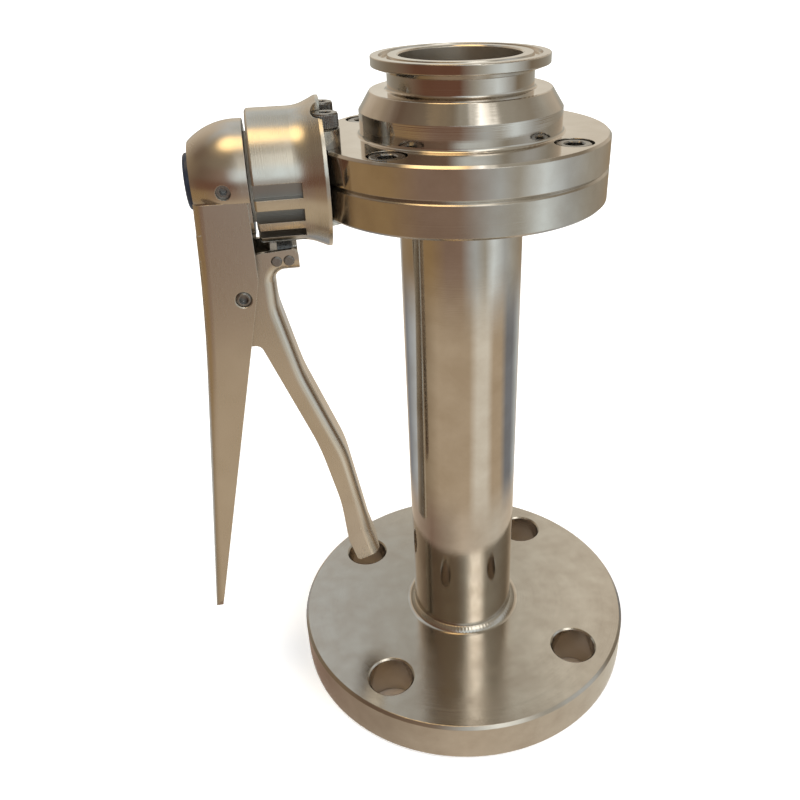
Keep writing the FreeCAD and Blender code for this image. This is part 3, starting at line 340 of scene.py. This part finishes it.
# %% [markdown]
# A small set of tints, from dark browns to a cool white, serves all the ramps. Sharing them
# keeps the three sheets in one mood, and a tint that is off is mended in one place. Two are
# brighter than white, because the light of a lamp is.

# %% Choose the tints
GOLD = (0.56, 0.45, 0.32)
TAN = (0.34, 0.26, 0.17)
BROWN = (0.17, 0.115, 0.08)
CREAM = (0.86, 0.81, 0.70)
PALE = (0.66, 0.70, 0.72)
SLATE = (0.24, 0.25, 0.27)
SAND = (0.66, 0.56, 0.44)
AMBER = (0.36, 0.24, 0.12)
UMBER = (0.17, 0.08, 0.05)
HAZEL = (0.29, 0.20, 0.15)
CLAY = (0.26, 0.21, 0.15)
STONE = (0.45, 0.43, 0.37)
DUNE = (0.44, 0.36, 0.28)
OAT = (0.70, 0.65, 0.55)
MIST = (0.52, 0.55, 0.55)
COOL = (0.90, 1.00, 1.04)
WHITE = (2.2, 2.15, 2.0)
LAMP_GOLD = (2.6, 1.85, 0.95)
print("darkest and brightest tint:", UMBER, LAMP_GOLD)

# %% [markdown]
# The upright walls of the valve mirror the ground, so the sheet on the ground matters most. It
# has three ramps, one outside the other: one for the base's own rim, one for most of the tube
# and one for the tube's top and the body.

# %% Lay the ground sheet round the valve
RIM_GROUND = [(-170, SAND), (-80, HAZEL), (-40, DUNE), (-10, SAND), (60, OAT), (110, SAND)]
NEAR_GROUND = [
    (-150, SLATE), (-112, PALE), (-92, TAN), (-60, GOLD), (2, GOLD), (18, CREAM), (38, CREAM),
    (52, GOLD), (70, GOLD), (86, SLATE), (106, SLATE), (128, MIST), (160, SAND), (190, SAND)]
FAR_GROUND = [
    (-155, TAN), (-95, AMBER), (-68, AMBER), (-40, HAZEL), (-15, HAZEL), (14, MIST),
    (30, STONE), (50, COOL), (72, MIST), (97, STONE), (140, TAN), (186, PALE)]
GROUND_RADII = (0.0640, 1.1)
RIM_TO_NEAR = (0.09, 0.13)
NEAR_TO_FAR = (0.29, 0.46)
AROUND = 96


def ground_paint(tree):
    """The colours of the ground: at the rim, near and far."""
    away = length_of(tree, here(tree))
    rim = bearing_ramp(tree, RIM_GROUND, wander=0.02)
    near = bearing_ramp(tree, NEAR_GROUND, wander=0.03)
    far = bearing_ramp(tree, FAR_GROUND, wander=0.10)
    return fade(tree, away, RIM_TO_NEAR, rim, fade(tree, away, NEAR_TO_FAR, near, far))


inner, outer = (circle_points(radius, 0.0, AROUND) for radius in GROUND_RADII)
band = [(i, i + AROUND, (i + 1) % AROUND + AROUND, (i + 1) % AROUND) for i in range(AROUND)]
mirror_sheet("ground", inner + outer, band, ground_paint)
print("ground sheet from", *GROUND_RADII, "m")

# %% [markdown]
# The ring is mirrored by the domed head, the cones and the level faces. It has three ramps too,
# one above the other, because a face that leans back mirrors a higher part of the room.

# %% Stand the room round it
ROOM_FOOT = [
    (-170, STONE), (-112, CLAY), (-70, UMBER), (-14, UMBER), (10, STONE), (45, COOL),
    (84, CLAY), (140, STONE)]
ROOM_MIDDLE = [
    (-150, SAND), (-110, TAN), (-70, BROWN), (-28, HAZEL), (-8, COOL), (12, COOL),
    (36, STONE), (66, PALE), (100, STONE), (140, SAND), (170, CREAM), (195, SAND)]
ROOM_HEAD = [
    (-150, SAND), (-100, BROWN), (-50, CLAY), (-22, CLAY), (-6, STONE), (10, WHITE),
    (26, WHITE), (44, STONE), (112, CLAY), (136, SAND), (154, CREAM), (168, STONE), (184, PALE)]
ROOM_RADIUS = 1.1
ROOM_HIGH = 1.5
FOOT_TO_MIDDLE = (0.22, 0.40)
MIDDLE_TO_HEAD = (0.65, 0.95)


def room_paint(tree):
    """The colours of the ring: at its foot, its middle and its head."""
    height = add(tree, "ShaderNodeSeparateXYZ", {0: here(tree)}).outputs["Z"]
    foot = bearing_ramp(tree, ROOM_FOOT, wander=0.08)
    middle = bearing_ramp(tree, ROOM_MIDDLE, wander=0.25)
    head = bearing_ramp(tree, ROOM_HEAD, wander=0.25)
    lower = fade(tree, height, FOOT_TO_MIDDLE, foot, middle)
    return fade(tree, height, MIDDLE_TO_HEAD, lower, head)


foot, head = (circle_points(ROOM_RADIUS, height, AROUND) for height in (0.0, ROOM_HIGH))
mirror_sheet("room", foot + head, band, room_paint)
print("room radius and height:", ROOM_RADIUS, ROOM_HIGH, "m")

# %% [markdown]
# The sheet on top closes the room and carries a golden spot of lamp light, which shows on the top
# of the drum. A real lamp would do that too, but its edge would be hard, and this spot fades.

# %% Close the room with a ceiling
CEILING = [
    (-160, PALE), (-100, CLAY), (-50, TAN), (-24, CLAY), (0, STONE), (18, WHITE), (40, STONE),
    (120, STONE), (160, STONE)]
LAMP_SPOT = (-0.30, -0.15, ROOM_HIGH)
LAMP_SPOT_ENDS = (0.22, 0.50)


def ceiling_paint(tree):
    """The colours of the sheet on top, with the lamp's spot."""
    from_spot = length_of(tree, reckon_vector(tree, "SUBTRACT", here(tree), LAMP_SPOT))
    return fade(tree, from_spot, LAMP_SPOT_ENDS, LAMP_GOLD, bearing_ramp(tree, CEILING, wander=0.5))


mirror_sheet("ceiling", head, [tuple(range(AROUND))], ceiling_paint)
print("lamp spot at", *LAMP_SPOT, "m")

# %% [markdown]
# Every turned part of the real valve carries fine rings from the lathe. A picture of rings would
# have to be wrapped round each part. A one-dimensional noise needs no wrapping: along "distance
# from the axis plus distance along it" it draws such rings on faces, cones and walls alike,
# because that sum changes across the tool's path on all of them.

# %% Draw the lathe's rings
STEM_HEIGHT = 0.190
AXIS_PLACE = {"x": (0, 0, STEM_HEIGHT), "z": (0, 0, 0)}
ACROSS = {"x": (0, 1, 1), "z": (1, 1, 0)}


def from_axis(tree, axis):
    """Distance from a turning axis, in metres: the stem's is x and the pipe's is z."""
    place = reckon_vector(tree, "SUBTRACT", here(tree), AXIS_PLACE[axis])
    return length_of(tree, reckon_vector(tree, "MULTIPLY", place, ACROSS[axis]))


def turned_grain(axis, per_metre, detail=3.0):
    """A grain of random stripes, 0 to 1, that follow the lathe's tool."""
    def grain(tree):
        along = add(tree, "ShaderNodeSeparateXYZ", {0: here(tree)}).outputs[axis.upper()]
        distance = reckon(tree, "ADD", from_axis(tree, axis), along)
        sizes = {"W": distance, "Scale": per_metre, "Detail": detail}
        return add(tree, "ShaderNodeTexNoise", sizes, noise_dimensions="1D").outputs["Fac"]
    return grain


def clouds(tree, scale, detail=3.0, squash=(1, 1, 1)):
    """Soft cloudy patches, 0 to 1."""
    place = reckon_vector(tree, "MULTIPLY", here(tree), squash)
    noise = add(tree, "ShaderNodeTexNoise", {"Vector": place, "Scale": scale, "Detail": detail})
    return noise.outputs["Fac"]


# %% [markdown]
# Real steel is never even. Hands leave soft cloudy marks on it, and its sharp edges are broken.
# One recipe serves every steel here: rings and clouds together steer the roughness, the clouds
# mix two close tints, the rings give a very low relief, and a Bevel node rounds the shading at
# the edges, which costs no faces.

# %% Write the recipe for steel
NOISE_SPAN = (0.3, 0.7)
PRODUCT_SPAN = (0.12, 0.42)
EDGE_RADIUS = 0.00025
RELIEF_HEIGHT = 0.0002


def steel(name, shade, warm, rough, grain, relief, marks=(120, 3.0)):
    """Steel with stripes of grain, cloudy handling marks and softened edges. rough is its lowest
    and highest roughness, grain(tree) its stripes, and marks the clouds' scale and detail."""
    finish, tree, shader = new_finish(name, shade, 1.0, rough[0])
    lines = grain(tree)
    smudges = clouds(tree, *marks)
    both = reckon(tree, "MULTIPLY", lines, smudges)
    colour = mixed(tree, stretch(tree, smudges, *NOISE_SPAN), shade, warm)
    tree.links.new(colour, shader.inputs["Base Color"])
    tree.links.new(stretch(tree, both, *PRODUCT_SPAN, *rough), shader.inputs["Roughness"])
    soft_edge = add(tree, "ShaderNodeBevel", {"Radius": EDGE_RADIUS}, samples=4)
    bump = add(tree, "ShaderNodeBump", {"Height": lines, "Strength": relief,
                                        "Distance": RELIEF_HEIGHT, "Normal": soft_edge.outputs[0]})
    tree.links.new(bump.outputs[0], shader.inputs["Normal"])
    return finish


# %% [markdown]
# The tube, the flap and the upper body are polished, the base and the lower body are turned and
# left so, and the drum is turned round the stem. The folded sheets and the head are brushed. The
# screws, the pins, the pawl and the spring are of a darker steel without rings. One finish for
# all would look flat. These come from one recipe with other numbers, so they look like one kind
# of metal, worked in different ways. The upper body has a polish of its own, because the next
# step changes it inside.

# %% Mix the steels
def mirror_steel(name):
    """Polished steel with faint lathe rings round the pipe's axis."""
    return steel(name, (0.66, 0.62, 0.57), (0.58, 0.53, 0.47), (0.05, 0.12),
                 turned_grain("z", 3500), 0.03)


polished = mirror_steel("mirror_polish")
ferrule_polish = mirror_steel("ferrule_polish")
turned_flange = steel("turned_flange", (0.62, 0.58, 0.52), (0.54, 0.49, 0.43), (0.12, 0.24),
                      turned_grain("z", 2600), 0.10)
turned_drum = steel("turned_drum", (0.68, 0.65, 0.59), (0.61, 0.57, 0.50), (0.20, 0.29),
                    turned_grain("x", 5200, 2.0), 0.06)
brushed = steel("brushed_sheet", (0.68, 0.64, 0.58), (0.63, 0.58, 0.51), (0.21, 0.29),
                lambda tree: clouds(tree, 5200, 1.0, (1, 1, 0.05)), 0.0, (60, 2.0))
screw_finish = steel("screw_steel_finish", (0.36, 0.36, 0.36), (0.27, 0.26, 0.25), (0.20, 0.34),
                     lambda tree: clouds(tree, 1500), 0.08)
steels = (polished, ferrule_polish, turned_flange, turned_drum, brushed, screw_finish)
print("steels:", *(finish.name for finish in steels))

# %% [markdown]
# The bore is duller than the polished outside. The drum's slots are duller too, and darker with
# painted shade, because a recess lies in shade.
# Both could be given a second material, face by face. It is simpler to let the finish itself
# ask how far a point is from its turning axis, because both lie closer to it than the rest.

# %% Dull the bore and the slots, and paint shade into the slots
INSIDE_EDGE = 0.0001


def dull_and_shade_inside(finish, axis, radius, roughness, shade):
    """Make a finish duller, and tint it with painted shade, where it is closer to its turning axis
    than a radius.
    """
    tree = finish.node_tree
    shader = tree.nodes["Principled BSDF"]
    inside = stretch(tree, from_axis(tree, axis), radius + INSIDE_EDGE, radius - INSIDE_EDGE)
    smooth = shader.inputs["Roughness"].links[0].from_socket
    bright = shader.inputs["Base Color"].links[0].from_socket
    tree.links.new(stretch(tree, inside, 0.0, 1.0, smooth, roughness), shader.inputs["Roughness"])
    tree.links.new(mixed(tree, inside, bright, shade), shader.inputs["Base Color"])


dull_and_shade_inside(ferrule_polish, "z", radius=0.0175, roughness=0.30, shade=(0.66, 0.62, 0.56))
# The drum's darker tint inside 18.2 mm from the stem is painted shade for its slots.
dull_and_shade_inside(turned_drum, "x", radius=0.0182, roughness=0.34, shade=(0.40, 0.39, 0.37))
print("duller inside:", ferrule_polish.name, turned_drum.name)

# %% [markdown]
# Some parts are not steel. The seat and the stem's ring are elastomer, matt with a fine grain.
# The bushes and the washer are a white bearing plastic. The plug in the lever's head is a blue
# moulded plastic with a slight orange-peel surface. All three are a fine noise in the relief and
# soft patches in the tint, so one function makes them with other numbers.

# %% Rubber and plastics
MOULD_PATCHES = 150
ROUGHER = 0.12
MOULD_RELIEF_HEIGHT = 0.0003


def moulded(name, shade, other, rough, relief, scale):
    """A moulded material: two close tints in patches over a fine grain."""
    finish, tree, shader = new_finish(name, shade, 0.0, rough)
    grain = clouds(tree, scale, 2.0)
    patches = stretch(tree, clouds(tree, MOULD_PATCHES), *NOISE_SPAN)
    roughness = stretch(tree, grain, *NOISE_SPAN, rough, rough + ROUGHER)
    tree.links.new(mixed(tree, patches, shade, other), shader.inputs["Base Color"])
    tree.links.new(roughness, shader.inputs["Roughness"])
    bump = add(tree, "ShaderNodeBump", {"Height": grain, "Strength": relief,
                                        "Distance": MOULD_RELIEF_HEIGHT})
    tree.links.new(bump.outputs[0], shader.inputs["Normal"])
    return finish


rubber = moulded("seat_elastomer", (0.035, 0.035, 0.037), (0.055, 0.054, 0.052), 0.55, 0.15, 2500)
bearing_plastic = moulded("bearing_plastic", (0.72, 0.71, 0.66), (0.66, 0.64, 0.58),
                          0.38, 0.08, 1800)
blue_plastic = moulded("plug_plastic", (0.014, 0.022, 0.045), (0.020, 0.030, 0.056),
                       0.30, 0.10, 1500)
print("moulded:", rubber.name, bearing_plastic.name, blue_plastic.name)

# %% [markdown]
# Now each loaded piece gets its finish. The pieces keep their own meshes, so only the slot for
# the material changes. One table by name shows at a glance what is made of what.

# %% Give each piece its finish
FINISH_OF = {
    "base_flange": turned_flange,
    "outlet_pipe": polished,
    "lower_body": turned_flange,
    "upper_body": ferrule_polish,
    "seat_ring": rubber,
    "drive_bush": bearing_plastic,
    "blind_bush": bearing_plastic,
    "stem_seal": rubber,
    "body_screw_set": screw_finish,
    "ear_screw_set": screw_finish,
    "index_drum": turned_drum,
    "drum_bush": bearing_plastic,
    "thrust_washer": bearing_plastic,
    "flap_and_stem": polished,
    "lever_head": brushed,
    "end_plug": blue_plastic,
    "grub_screw": screw_finish,
    "lever_channel": brushed,
    "trigger_pin": screw_finish,
    "pin_sleeves": screw_finish,
    "trigger_spring": screw_finish,
    "trigger_channel": brushed,
    "trigger_pawl": screw_finish,
    "pawl_rivets": screw_finish,
}
for name, node in nodes.items():
    node.data.materials.clear()
    node.data.materials.append(FINISH_OF[name])
print("dressed:", len(nodes))

# %% [markdown]
# The lever is folded from sheet: wide flat walls meet in narrow round bends. A few of its
# triangles lean their shading from the bend onto the flat wall, which shows as bright wedges.
# We copy the mesh, join its points, mark the true corners and let each face's area weigh its
# shading, so that the flats stay flat and the bends stay round.

# %% Shade the folded lever again
CORNER = math.radians(25)
SAME_POINT = 1e-6


def shaded_again(name, source):
    """A copy of a folded piece whose shading follows its faces by area."""
    mesh = bmesh.new()
    mesh.from_mesh(source.data)
    bmesh.ops.remove_doubles(mesh, verts=mesh.verts, dist=SAME_POINT)
    for face in mesh.faces:
        face.smooth = True
    for edge in mesh.edges:
        edge.smooth = edge.calc_face_angle(0) < CORNER
    data = bpy.data.meshes.new(name)
    mesh.to_mesh(data)
    mesh.free()
    if "custom_normal" in data.attributes:
        data.attributes.remove(data.attributes["custom_normal"])
    seed = new_object(name + "_seed", data)
    weighted = seed.modifiers.new("weighted", "WEIGHTED_NORMAL")
    weighted.keep_sharp = True
    view = bpy.context.evaluated_depsgraph_get()
    made = bpy.data.meshes.new_from_object(seed.evaluated_get(view))
    bpy.data.objects.remove(seed)
    made.name = name
    made.materials.clear()
    made.materials.append(source.data.materials[0])
    return new_object(name, made)


folded_lever = shaded_again("folded_lever", nodes["lever_channel"])
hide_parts("lever_channel")
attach(folded_lever, "lever")
print("folded lever:", len(folded_lever.data.polygons), "faces")

# %% [markdown]
# The screws that hold the two halves are socket cap screws with knurled heads. A knurl could be
# a pattern in the material, but as true shape it also shows at the head's outline and in the
# mesh. We build a screw as a stack of rings of points: 96 points a ring let the knurls
# alternate point by point, and put the six corners of the socket exactly on points.

# %% Close rings of points into a skin
RING = 96
SIXTH = math.radians(60)


def hex_reach(width, turn):
    """Distance from the centre to a hexagon's side, of that width across flats."""
    return width / 2 / math.cos(turn % SIXTH - SIXTH / 2)


def close_rings(mesh, rings):
    """Close a stack of rings of RING points each into a skin, with a point at each end."""
    first = mesh.verts.new((0, 0, rings[0][0][2]))
    last = mesh.verts.new((0, 0, rings[-1][0][2]))
    rows = [[mesh.verts.new(spot) for spot in ring] for ring in rings]
    for i in range(RING):
        j = (i + 1) % RING
        mesh.faces.new((first, rows[0][i], rows[0][j]))
        mesh.faces.new((last, rows[-1][j], rows[-1][i]))
        for upper, lower in zip(rows, rows[1:]):
            mesh.faces.new((upper[i], lower[i], lower[j], upper[j]))


# %% [markdown]
# From the inside out, the rings draw the socket and its mouth, the head with its knurls, and the
# shank. A function with the sizes as inputs can draw a screw of any size.

# %% Draw the rings of a knurled screw
LIP_OF_HEIGHT = 0.10


def screw_rings(head, height, shank, length, socket, depth, knurl):
    """The rings of a socket cap screw, its head's top at the origin, pointing down. head and
    shank are widths, socket is the width across its flats. Sizes in metres."""
    turns = [math.tau * i / RING for i in range(RING)]

    def circle(radius, z):
        return circle_points(radius, z, RING)

    def spots(reaches, z):
        return [(r * math.cos(t), r * math.sin(t), z) for r, t in zip(reaches, turns)]

    def hexagon(z):
        return spots([hex_reach(socket, t) for t in turns], z)

    def knurled(z):
        return spots([head / 2 - knurl * (i % 2) for i in range(RING)], z)

    lip = height * LIP_OF_HEIGHT
    foot = -height - length
    return [
        # The socket, from the drilled dip at its foot to its round mouth
        circle(socket * 0.30, -depth - socket * 0.12),
        hexagon(-depth),
        hexagon(-lip / 2),
        circle(socket / math.sqrt(3) + lip / 4, 0),
        # The head, with a rounded rim above and below its knurls
        circle(head / 2 - lip, 0),
        circle(head / 2 - lip * 0.35, -lip * 0.25),
        circle(head / 2 - knurl, -lip * 0.8),
        knurled(-lip * 1.3),
        knurled(-height + lip),
        circle(head / 2 - knurl, -height + lip / 2),
        circle(head / 2 - lip, -height),
        # The shank and its bevelled end
        circle(shank / 2, -height),
        circle(shank / 2, foot + lip),
        circle(shank / 2 - lip, foot),
    ]


# %% [markdown]
# The body's screws have the proportions of a 6 mm cap screw and the ear's those of a 4 mm one,
# which is what the heads measure in the picture. We make one of each and don't link them to the
# scene, because only their repeats are to show.

# %% Make the two sizes of screw
def socket_screw(name, **sizes):
    """One screw, closed and with its faces outwards."""
    mesh = bmesh.new()
    close_rings(mesh, screw_rings(**sizes))
    bmesh.ops.recalc_face_normals(mesh, faces=mesh.faces)
    data = bpy.data.meshes.new(name)
    mesh.to_mesh(data)
    mesh.free()
    return bpy.data.objects.new(name, data)


body_screw = socket_screw("one_body_screw", head=0.0100, height=0.0060, shank=0.0060,
                          length=0.0122, socket=0.0050, depth=0.0030, knurl=0.00022)
ear_screw = socket_screw("one_ear_screw", head=0.0070, height=0.0040, shank=0.0040,
                         length=0.0090, socket=0.0030, depth=0.0020, knurl=0.00018)
print("faces in one screw:", len(body_screw.data.polygons))

# %% [markdown]
# Geometry Nodes repeat a piece without a loop of copies. A tree is built in code much like a
# material: sockets on its interface for the sizes, then nodes and links. It ends by making its
# instances real, because an export drops them.

# %% Helpers that open and close a tree
SOCKET_KINDS = {
    "int": "NodeSocketInt", "float": "NodeSocketFloat", "vector": "NodeSocketVector",
    "object": "NodeSocketObject", "material": "NodeSocketMaterial"}


def new_tree(name, sizes):
    """A tree with named inputs. Returns it and its input node's sockets."""
    tree = bpy.data.node_groups.new(name, "GeometryNodeTree")
    for way in ("INPUT", "OUTPUT"):
        tree.interface.new_socket("Geometry", in_out=way, socket_type="NodeSocketGeometry")
    for label, kind in sizes.items():
        tree.interface.new_socket(label, in_out="INPUT", socket_type=SOCKET_KINDS[kind])
    return tree, tree.nodes.new("NodeGroupInput").outputs


def end_tree(tree, shape, finish):
    """Close a tree: make instances real and give them their finish."""
    real = add(tree, "GeometryNodeRealizeInstances", {0: shape})
    dressed = add(tree, "GeometryNodeSetMaterial", {
        "Geometry": real.outputs[0], "Material": finish})
    add(tree, "NodeGroupOutput", {0: dressed.outputs[0]})


# %% [markdown]
# A modifier runs the tree. Its inputs are set through each socket's own identifier, not its
# name. The result is then turned into a plain mesh, so that the piece carries no modifier.

# %% A helper that grows a piece from a tree
def grow(name, tree, sizes, start=None):
    """Run a tree with these sizes and keep the result as a plain mesh piece."""
    seed = new_object(name + "_seed", start or bpy.data.meshes.new(name + "_seed"))
    modifier = seed.modifiers.new("grow", "NODES")
    modifier.node_group = tree
    for item in tree.interface.items_tree:
        if item.in_out == "INPUT" and item.name in sizes:
            modifier[item.identifier] = sizes[item.name]
    view = bpy.context.evaluated_depsgraph_get()
    mesh = bpy.data.meshes.new_from_object(seed.evaluated_get(view))
    bpy.data.objects.remove(seed)
    mesh.name = name
    print(name, "has", len(mesh.polygons), "faces")
    return new_object(name, mesh)


# %% [markdown]
# A real screw stops where it is tight, not where its socket lines up with the next one. So a
# helper puts a screw on each point and turns it by a random angle. A fixed seed gives the same
# angles on every run. Another helper lays the points on a circle at a height.

# %% Helpers that put screws on points
def raised_circle(tree, count, radius, height, turn=0.0):
    """Points on a circle at a height, turned round the upright axis."""
    circle = add(tree, "GeometryNodeMeshCircle", {"Vertices": count, "Radius": radius})
    lift = add(tree, "ShaderNodeCombineXYZ", {"Z": height})
    spin = add(tree, "ShaderNodeCombineXYZ", {"Z": turn})
    return add(tree, "GeometryNodeTransform", {
        "Geometry": circle.outputs[0], "Translation": lift.outputs[0],
        "Rotation": spin.outputs[0]}).outputs[0]


def screws_on(tree, points, sizes):
    """Put a screw on each point, stopped at its own angle, and close the tree."""
    screw = add(tree, "GeometryNodeObjectInfo", {"Object": sizes["Screw"]})
    stop = add(tree, "FunctionNodeRandomValue",
               {"Seed": sizes["Seed"], 0: (0, 0, 0), 1: (0, 0, math.tau)}, data_type="FLOAT_VECTOR")
    screws = add(tree, "GeometryNodeInstanceOnPoints", {
        "Points": points, "Rotation": stop.outputs[0], "Instance": screw.outputs["Geometry"]})
    end_tree(tree, screws.outputs[0], sizes["Finish"])


# %% [markdown]
# Four screws stand on a circle in the upper half, a hair below its face. They could be placed by
# hand, but a tree that takes how many there are, the circle and the height would serve any
# other flange too.

# %% Repeat the body screws on their circle
UPPER_HALF_THICK = 0.0092
SCREW_SUNK = 0.0002

tree, sizes = new_tree("screws_on_a_circle", {
    "Count": "int", "Circle Radius": "float", "First Angle": "float", "Height": "float",
    "Seed": "int", "Screw": "object", "Finish": "material"})
circle = raised_circle(tree, sizes["Count"], sizes["Circle Radius"], sizes["Height"],
                       sizes["First Angle"])
screws_on(tree, circle, sizes)
knurled_screws = grow("knurled_body_screws", tree, {
    "Count": 4, "Circle Radius": 0.036, "First Angle": math.radians(45),
    "Height": STEM_HEIGHT + UPPER_HALF_THICK - SCREW_SUNK,
    "Seed": 3, "Screw": body_screw, "Finish": screw_finish})
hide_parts("body_screw_set")
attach(knurled_screws, "valve_body")

# %% [markdown]
# Two smaller screws stand in a row on the drum's ear. The tree of the circle with a count of two
# would do, but a row with a spacing says what is meant. Only the points differ.

# %% Repeat the ear screws in a row
EAR_THICK = 0.0047
EAR_SCREW_HEAD = 0.0040
EAR_SCREW_OUT = 0.0394
EAR_SCREW_SPREAD = 0.0174
EAR_SCREW_TOP = STEM_HEIGHT + UPPER_HALF_THICK + EAR_THICK + EAR_SCREW_HEAD

tree, sizes = new_tree("screws_in_a_row", {
    "Count": "int", "Spacing": "float", "First Place": "vector", "Seed": "int",
    "Screw": "object", "Finish": "material"})
step = add(tree, "ShaderNodeCombineXYZ", {"Y": sizes["Spacing"]})
row = add(tree, "GeometryNodeMeshLine", {
    "Count": sizes["Count"], "Start Location": sizes["First Place"], "Offset": step.outputs[0]})
screws_on(tree, row.outputs[0], sizes)
ear_screws = grow("knurled_ear_screws", tree, {
    "Count": 2, "Spacing": EAR_SCREW_SPREAD,
    "First Place": (-EAR_SCREW_OUT, -EAR_SCREW_SPREAD / 2, EAR_SCREW_TOP),
    "Seed": 8, "Screw": ear_screw, "Finish": screw_finish})
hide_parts("ear_screw_set")
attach(ear_screws, "valve_body")

# %% [markdown]
# The trigger's return spring is one wire: a straight leg on the trigger, four and a bit turns
# round the pin's sleeve, and a leg on the lever. A wire is a path swept by a small circle.
# Blender has a spiral ready, but its legs would have to be joined on in line. So we work out the
# path first, as points on a slow screw line with a straight piece at each end.

# %% Work out the spring's path
PIN_PLACE = Vector((-0.0675, 0, STEM_HEIGHT - 0.031))
COIL_RADIUS = 0.0042
PITCH = 0.00115
TURNS = 4
STEPS_PER_TURN = 28
GRIP_ANGLE = math.radians(18.5)
LEVER_ANGLE = math.radians(152)
GRIP_LEG = 0.0156
LEVER_LEG = 0.0130

sweep = TURNS * math.tau + LEVER_ANGLE - GRIP_ANGLE
rise = PITCH * sweep / math.tau


def coil_point(share):
    """A point of the coil, from its start at 0 to its end at 1."""
    turn = GRIP_ANGLE + sweep * share
    across, up = COIL_RADIUS * math.cos(turn), COIL_RADIUS * math.sin(turn)
    return PIN_PLACE + Vector((across, rise * (0.5 - share), up))


def tangent(angle):
    """The level direction in which the coil runs at an angle."""
    return Vector((-math.sin(angle), 0, math.cos(angle)))


steps = round(STEPS_PER_TURN * sweep / math.tau)
path = [coil_point(i / steps) for i in range(steps + 1)]
path.insert(0, path[0] - GRIP_LEG * tangent(GRIP_ANGLE))
path.append(path[-1] + LEVER_LEG * tangent(LEVER_ANGLE))
line = bpy.data.meshes.new("spring_path")
line.from_pydata(path, [(i, i + 1) for i in range(len(path) - 1)], [])
print("spring path:", len(path), "points")

# %% [markdown]
# A tree makes the path a curve and sweeps a small circle along it. When the trigger turns, one
# leg goes with it and the other stays on the lever, so the coil between them winds up.

# %% Draw the spring's wire
WIRE = 0.0010
WIRE_SIDES = 12

tree, sizes = new_tree("drawn_wire", {"Wire Radius": "float", "Sides": "int", "Finish": "material"})
curve = add(tree, "GeometryNodeMeshToCurve", {"Mesh": sizes["Geometry"]})
profile = add(tree, "GeometryNodeCurvePrimitiveCircle", {
    "Resolution": sizes["Sides"], "Radius": sizes["Wire Radius"]})
wire = add(tree, "GeometryNodeCurveToMesh", {
    "Curve": curve.outputs[0], "Profile Curve": profile.outputs[0], "Fill Caps": True})
end_tree(tree, wire.outputs[0], sizes["Finish"])
spring = grow("wound_spring", tree, {
    "Wire Radius": WIRE / 2, "Sides": WIRE_SIDES, "Finish": screw_finish}, line)
spring.data.shade_smooth()
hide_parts("trigger_spring")
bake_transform(spring)

# %% [markdown]
# The tube is welded to its flange with a fillet, and butt-welded to the body. A welded seam is
# a chain of small overlapping ripples. A bump would leave its outline straight, so one tree
# lays flattened drops round a ring. It serves both seams; only its sizes differ.

# %% Lay the weld ripples
BASE_TOP = 0.0159
PIPE_TOP = 0.1760
FOOT_WELD = {
    "Ripples": 96, "Ring Radius": 0.0200, "Height": BASE_TOP + 0.0010,
    "Ripple Size": (0.00030, 0.0013, 0.0017), "Lean": math.radians(-45), "Finish": turned_flange}
TOP_WELD = {
    "Ripples": 84, "Ring Radius": 0.01865, "Height": PIPE_TOP,
    "Ripple Size": (0.00062, 0.0013, 0.0014), "Lean": 0.0, "Finish": polished}
LEVEL = (1, 1, 0)

tree, sizes = new_tree("weld_ripples", {
    "Ripples": "int", "Ring Radius": "float", "Height": "float", "Ripple Size": "vector",
    "Lean": "float", "Finish": "material"})
ring = raised_circle(tree, sizes["Ripples"], sizes["Ring Radius"], sizes["Height"])
drop = add(tree, "GeometryNodeMeshUVSphere", {"Segments": 12, "Rings": 8, "Radius": 1.0})
place = add(tree, "GeometryNodeInputPosition").outputs[0]
facing = add(tree, "FunctionNodeAlignRotationToVector", {
    "Vector": reckon_vector(tree, "MULTIPLY", place, LEVEL)}, axis="X", pivot_axis="Z")
lean = add(tree, "ShaderNodeCombineXYZ", {"Y": sizes["Lean"]})
tilted = add(tree, "FunctionNodeRotateRotation", {
    "Rotation": facing.outputs[0], "Rotate By": lean.outputs[0]}, rotation_space="LOCAL")
drops = add(tree, "GeometryNodeInstanceOnPoints", {
    "Points": ring, "Instance": drop.outputs[0], "Rotation": tilted.outputs[0],
    "Scale": sizes["Ripple Size"]})
end_tree(tree, drops.outputs[0], sizes["Finish"])

for name, shape in (("foot_weld", FOOT_WELD), ("top_weld", TOP_WELD)):
    seam = grow(name, tree, shape)
    seam.data.shade_smooth()
    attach(seam, "valve_body")

# %% [markdown]
# Last we set the colour view to Standard.

# %% Set the colour view
bpy.context.scene.view_settings.view_transform = "Standard"
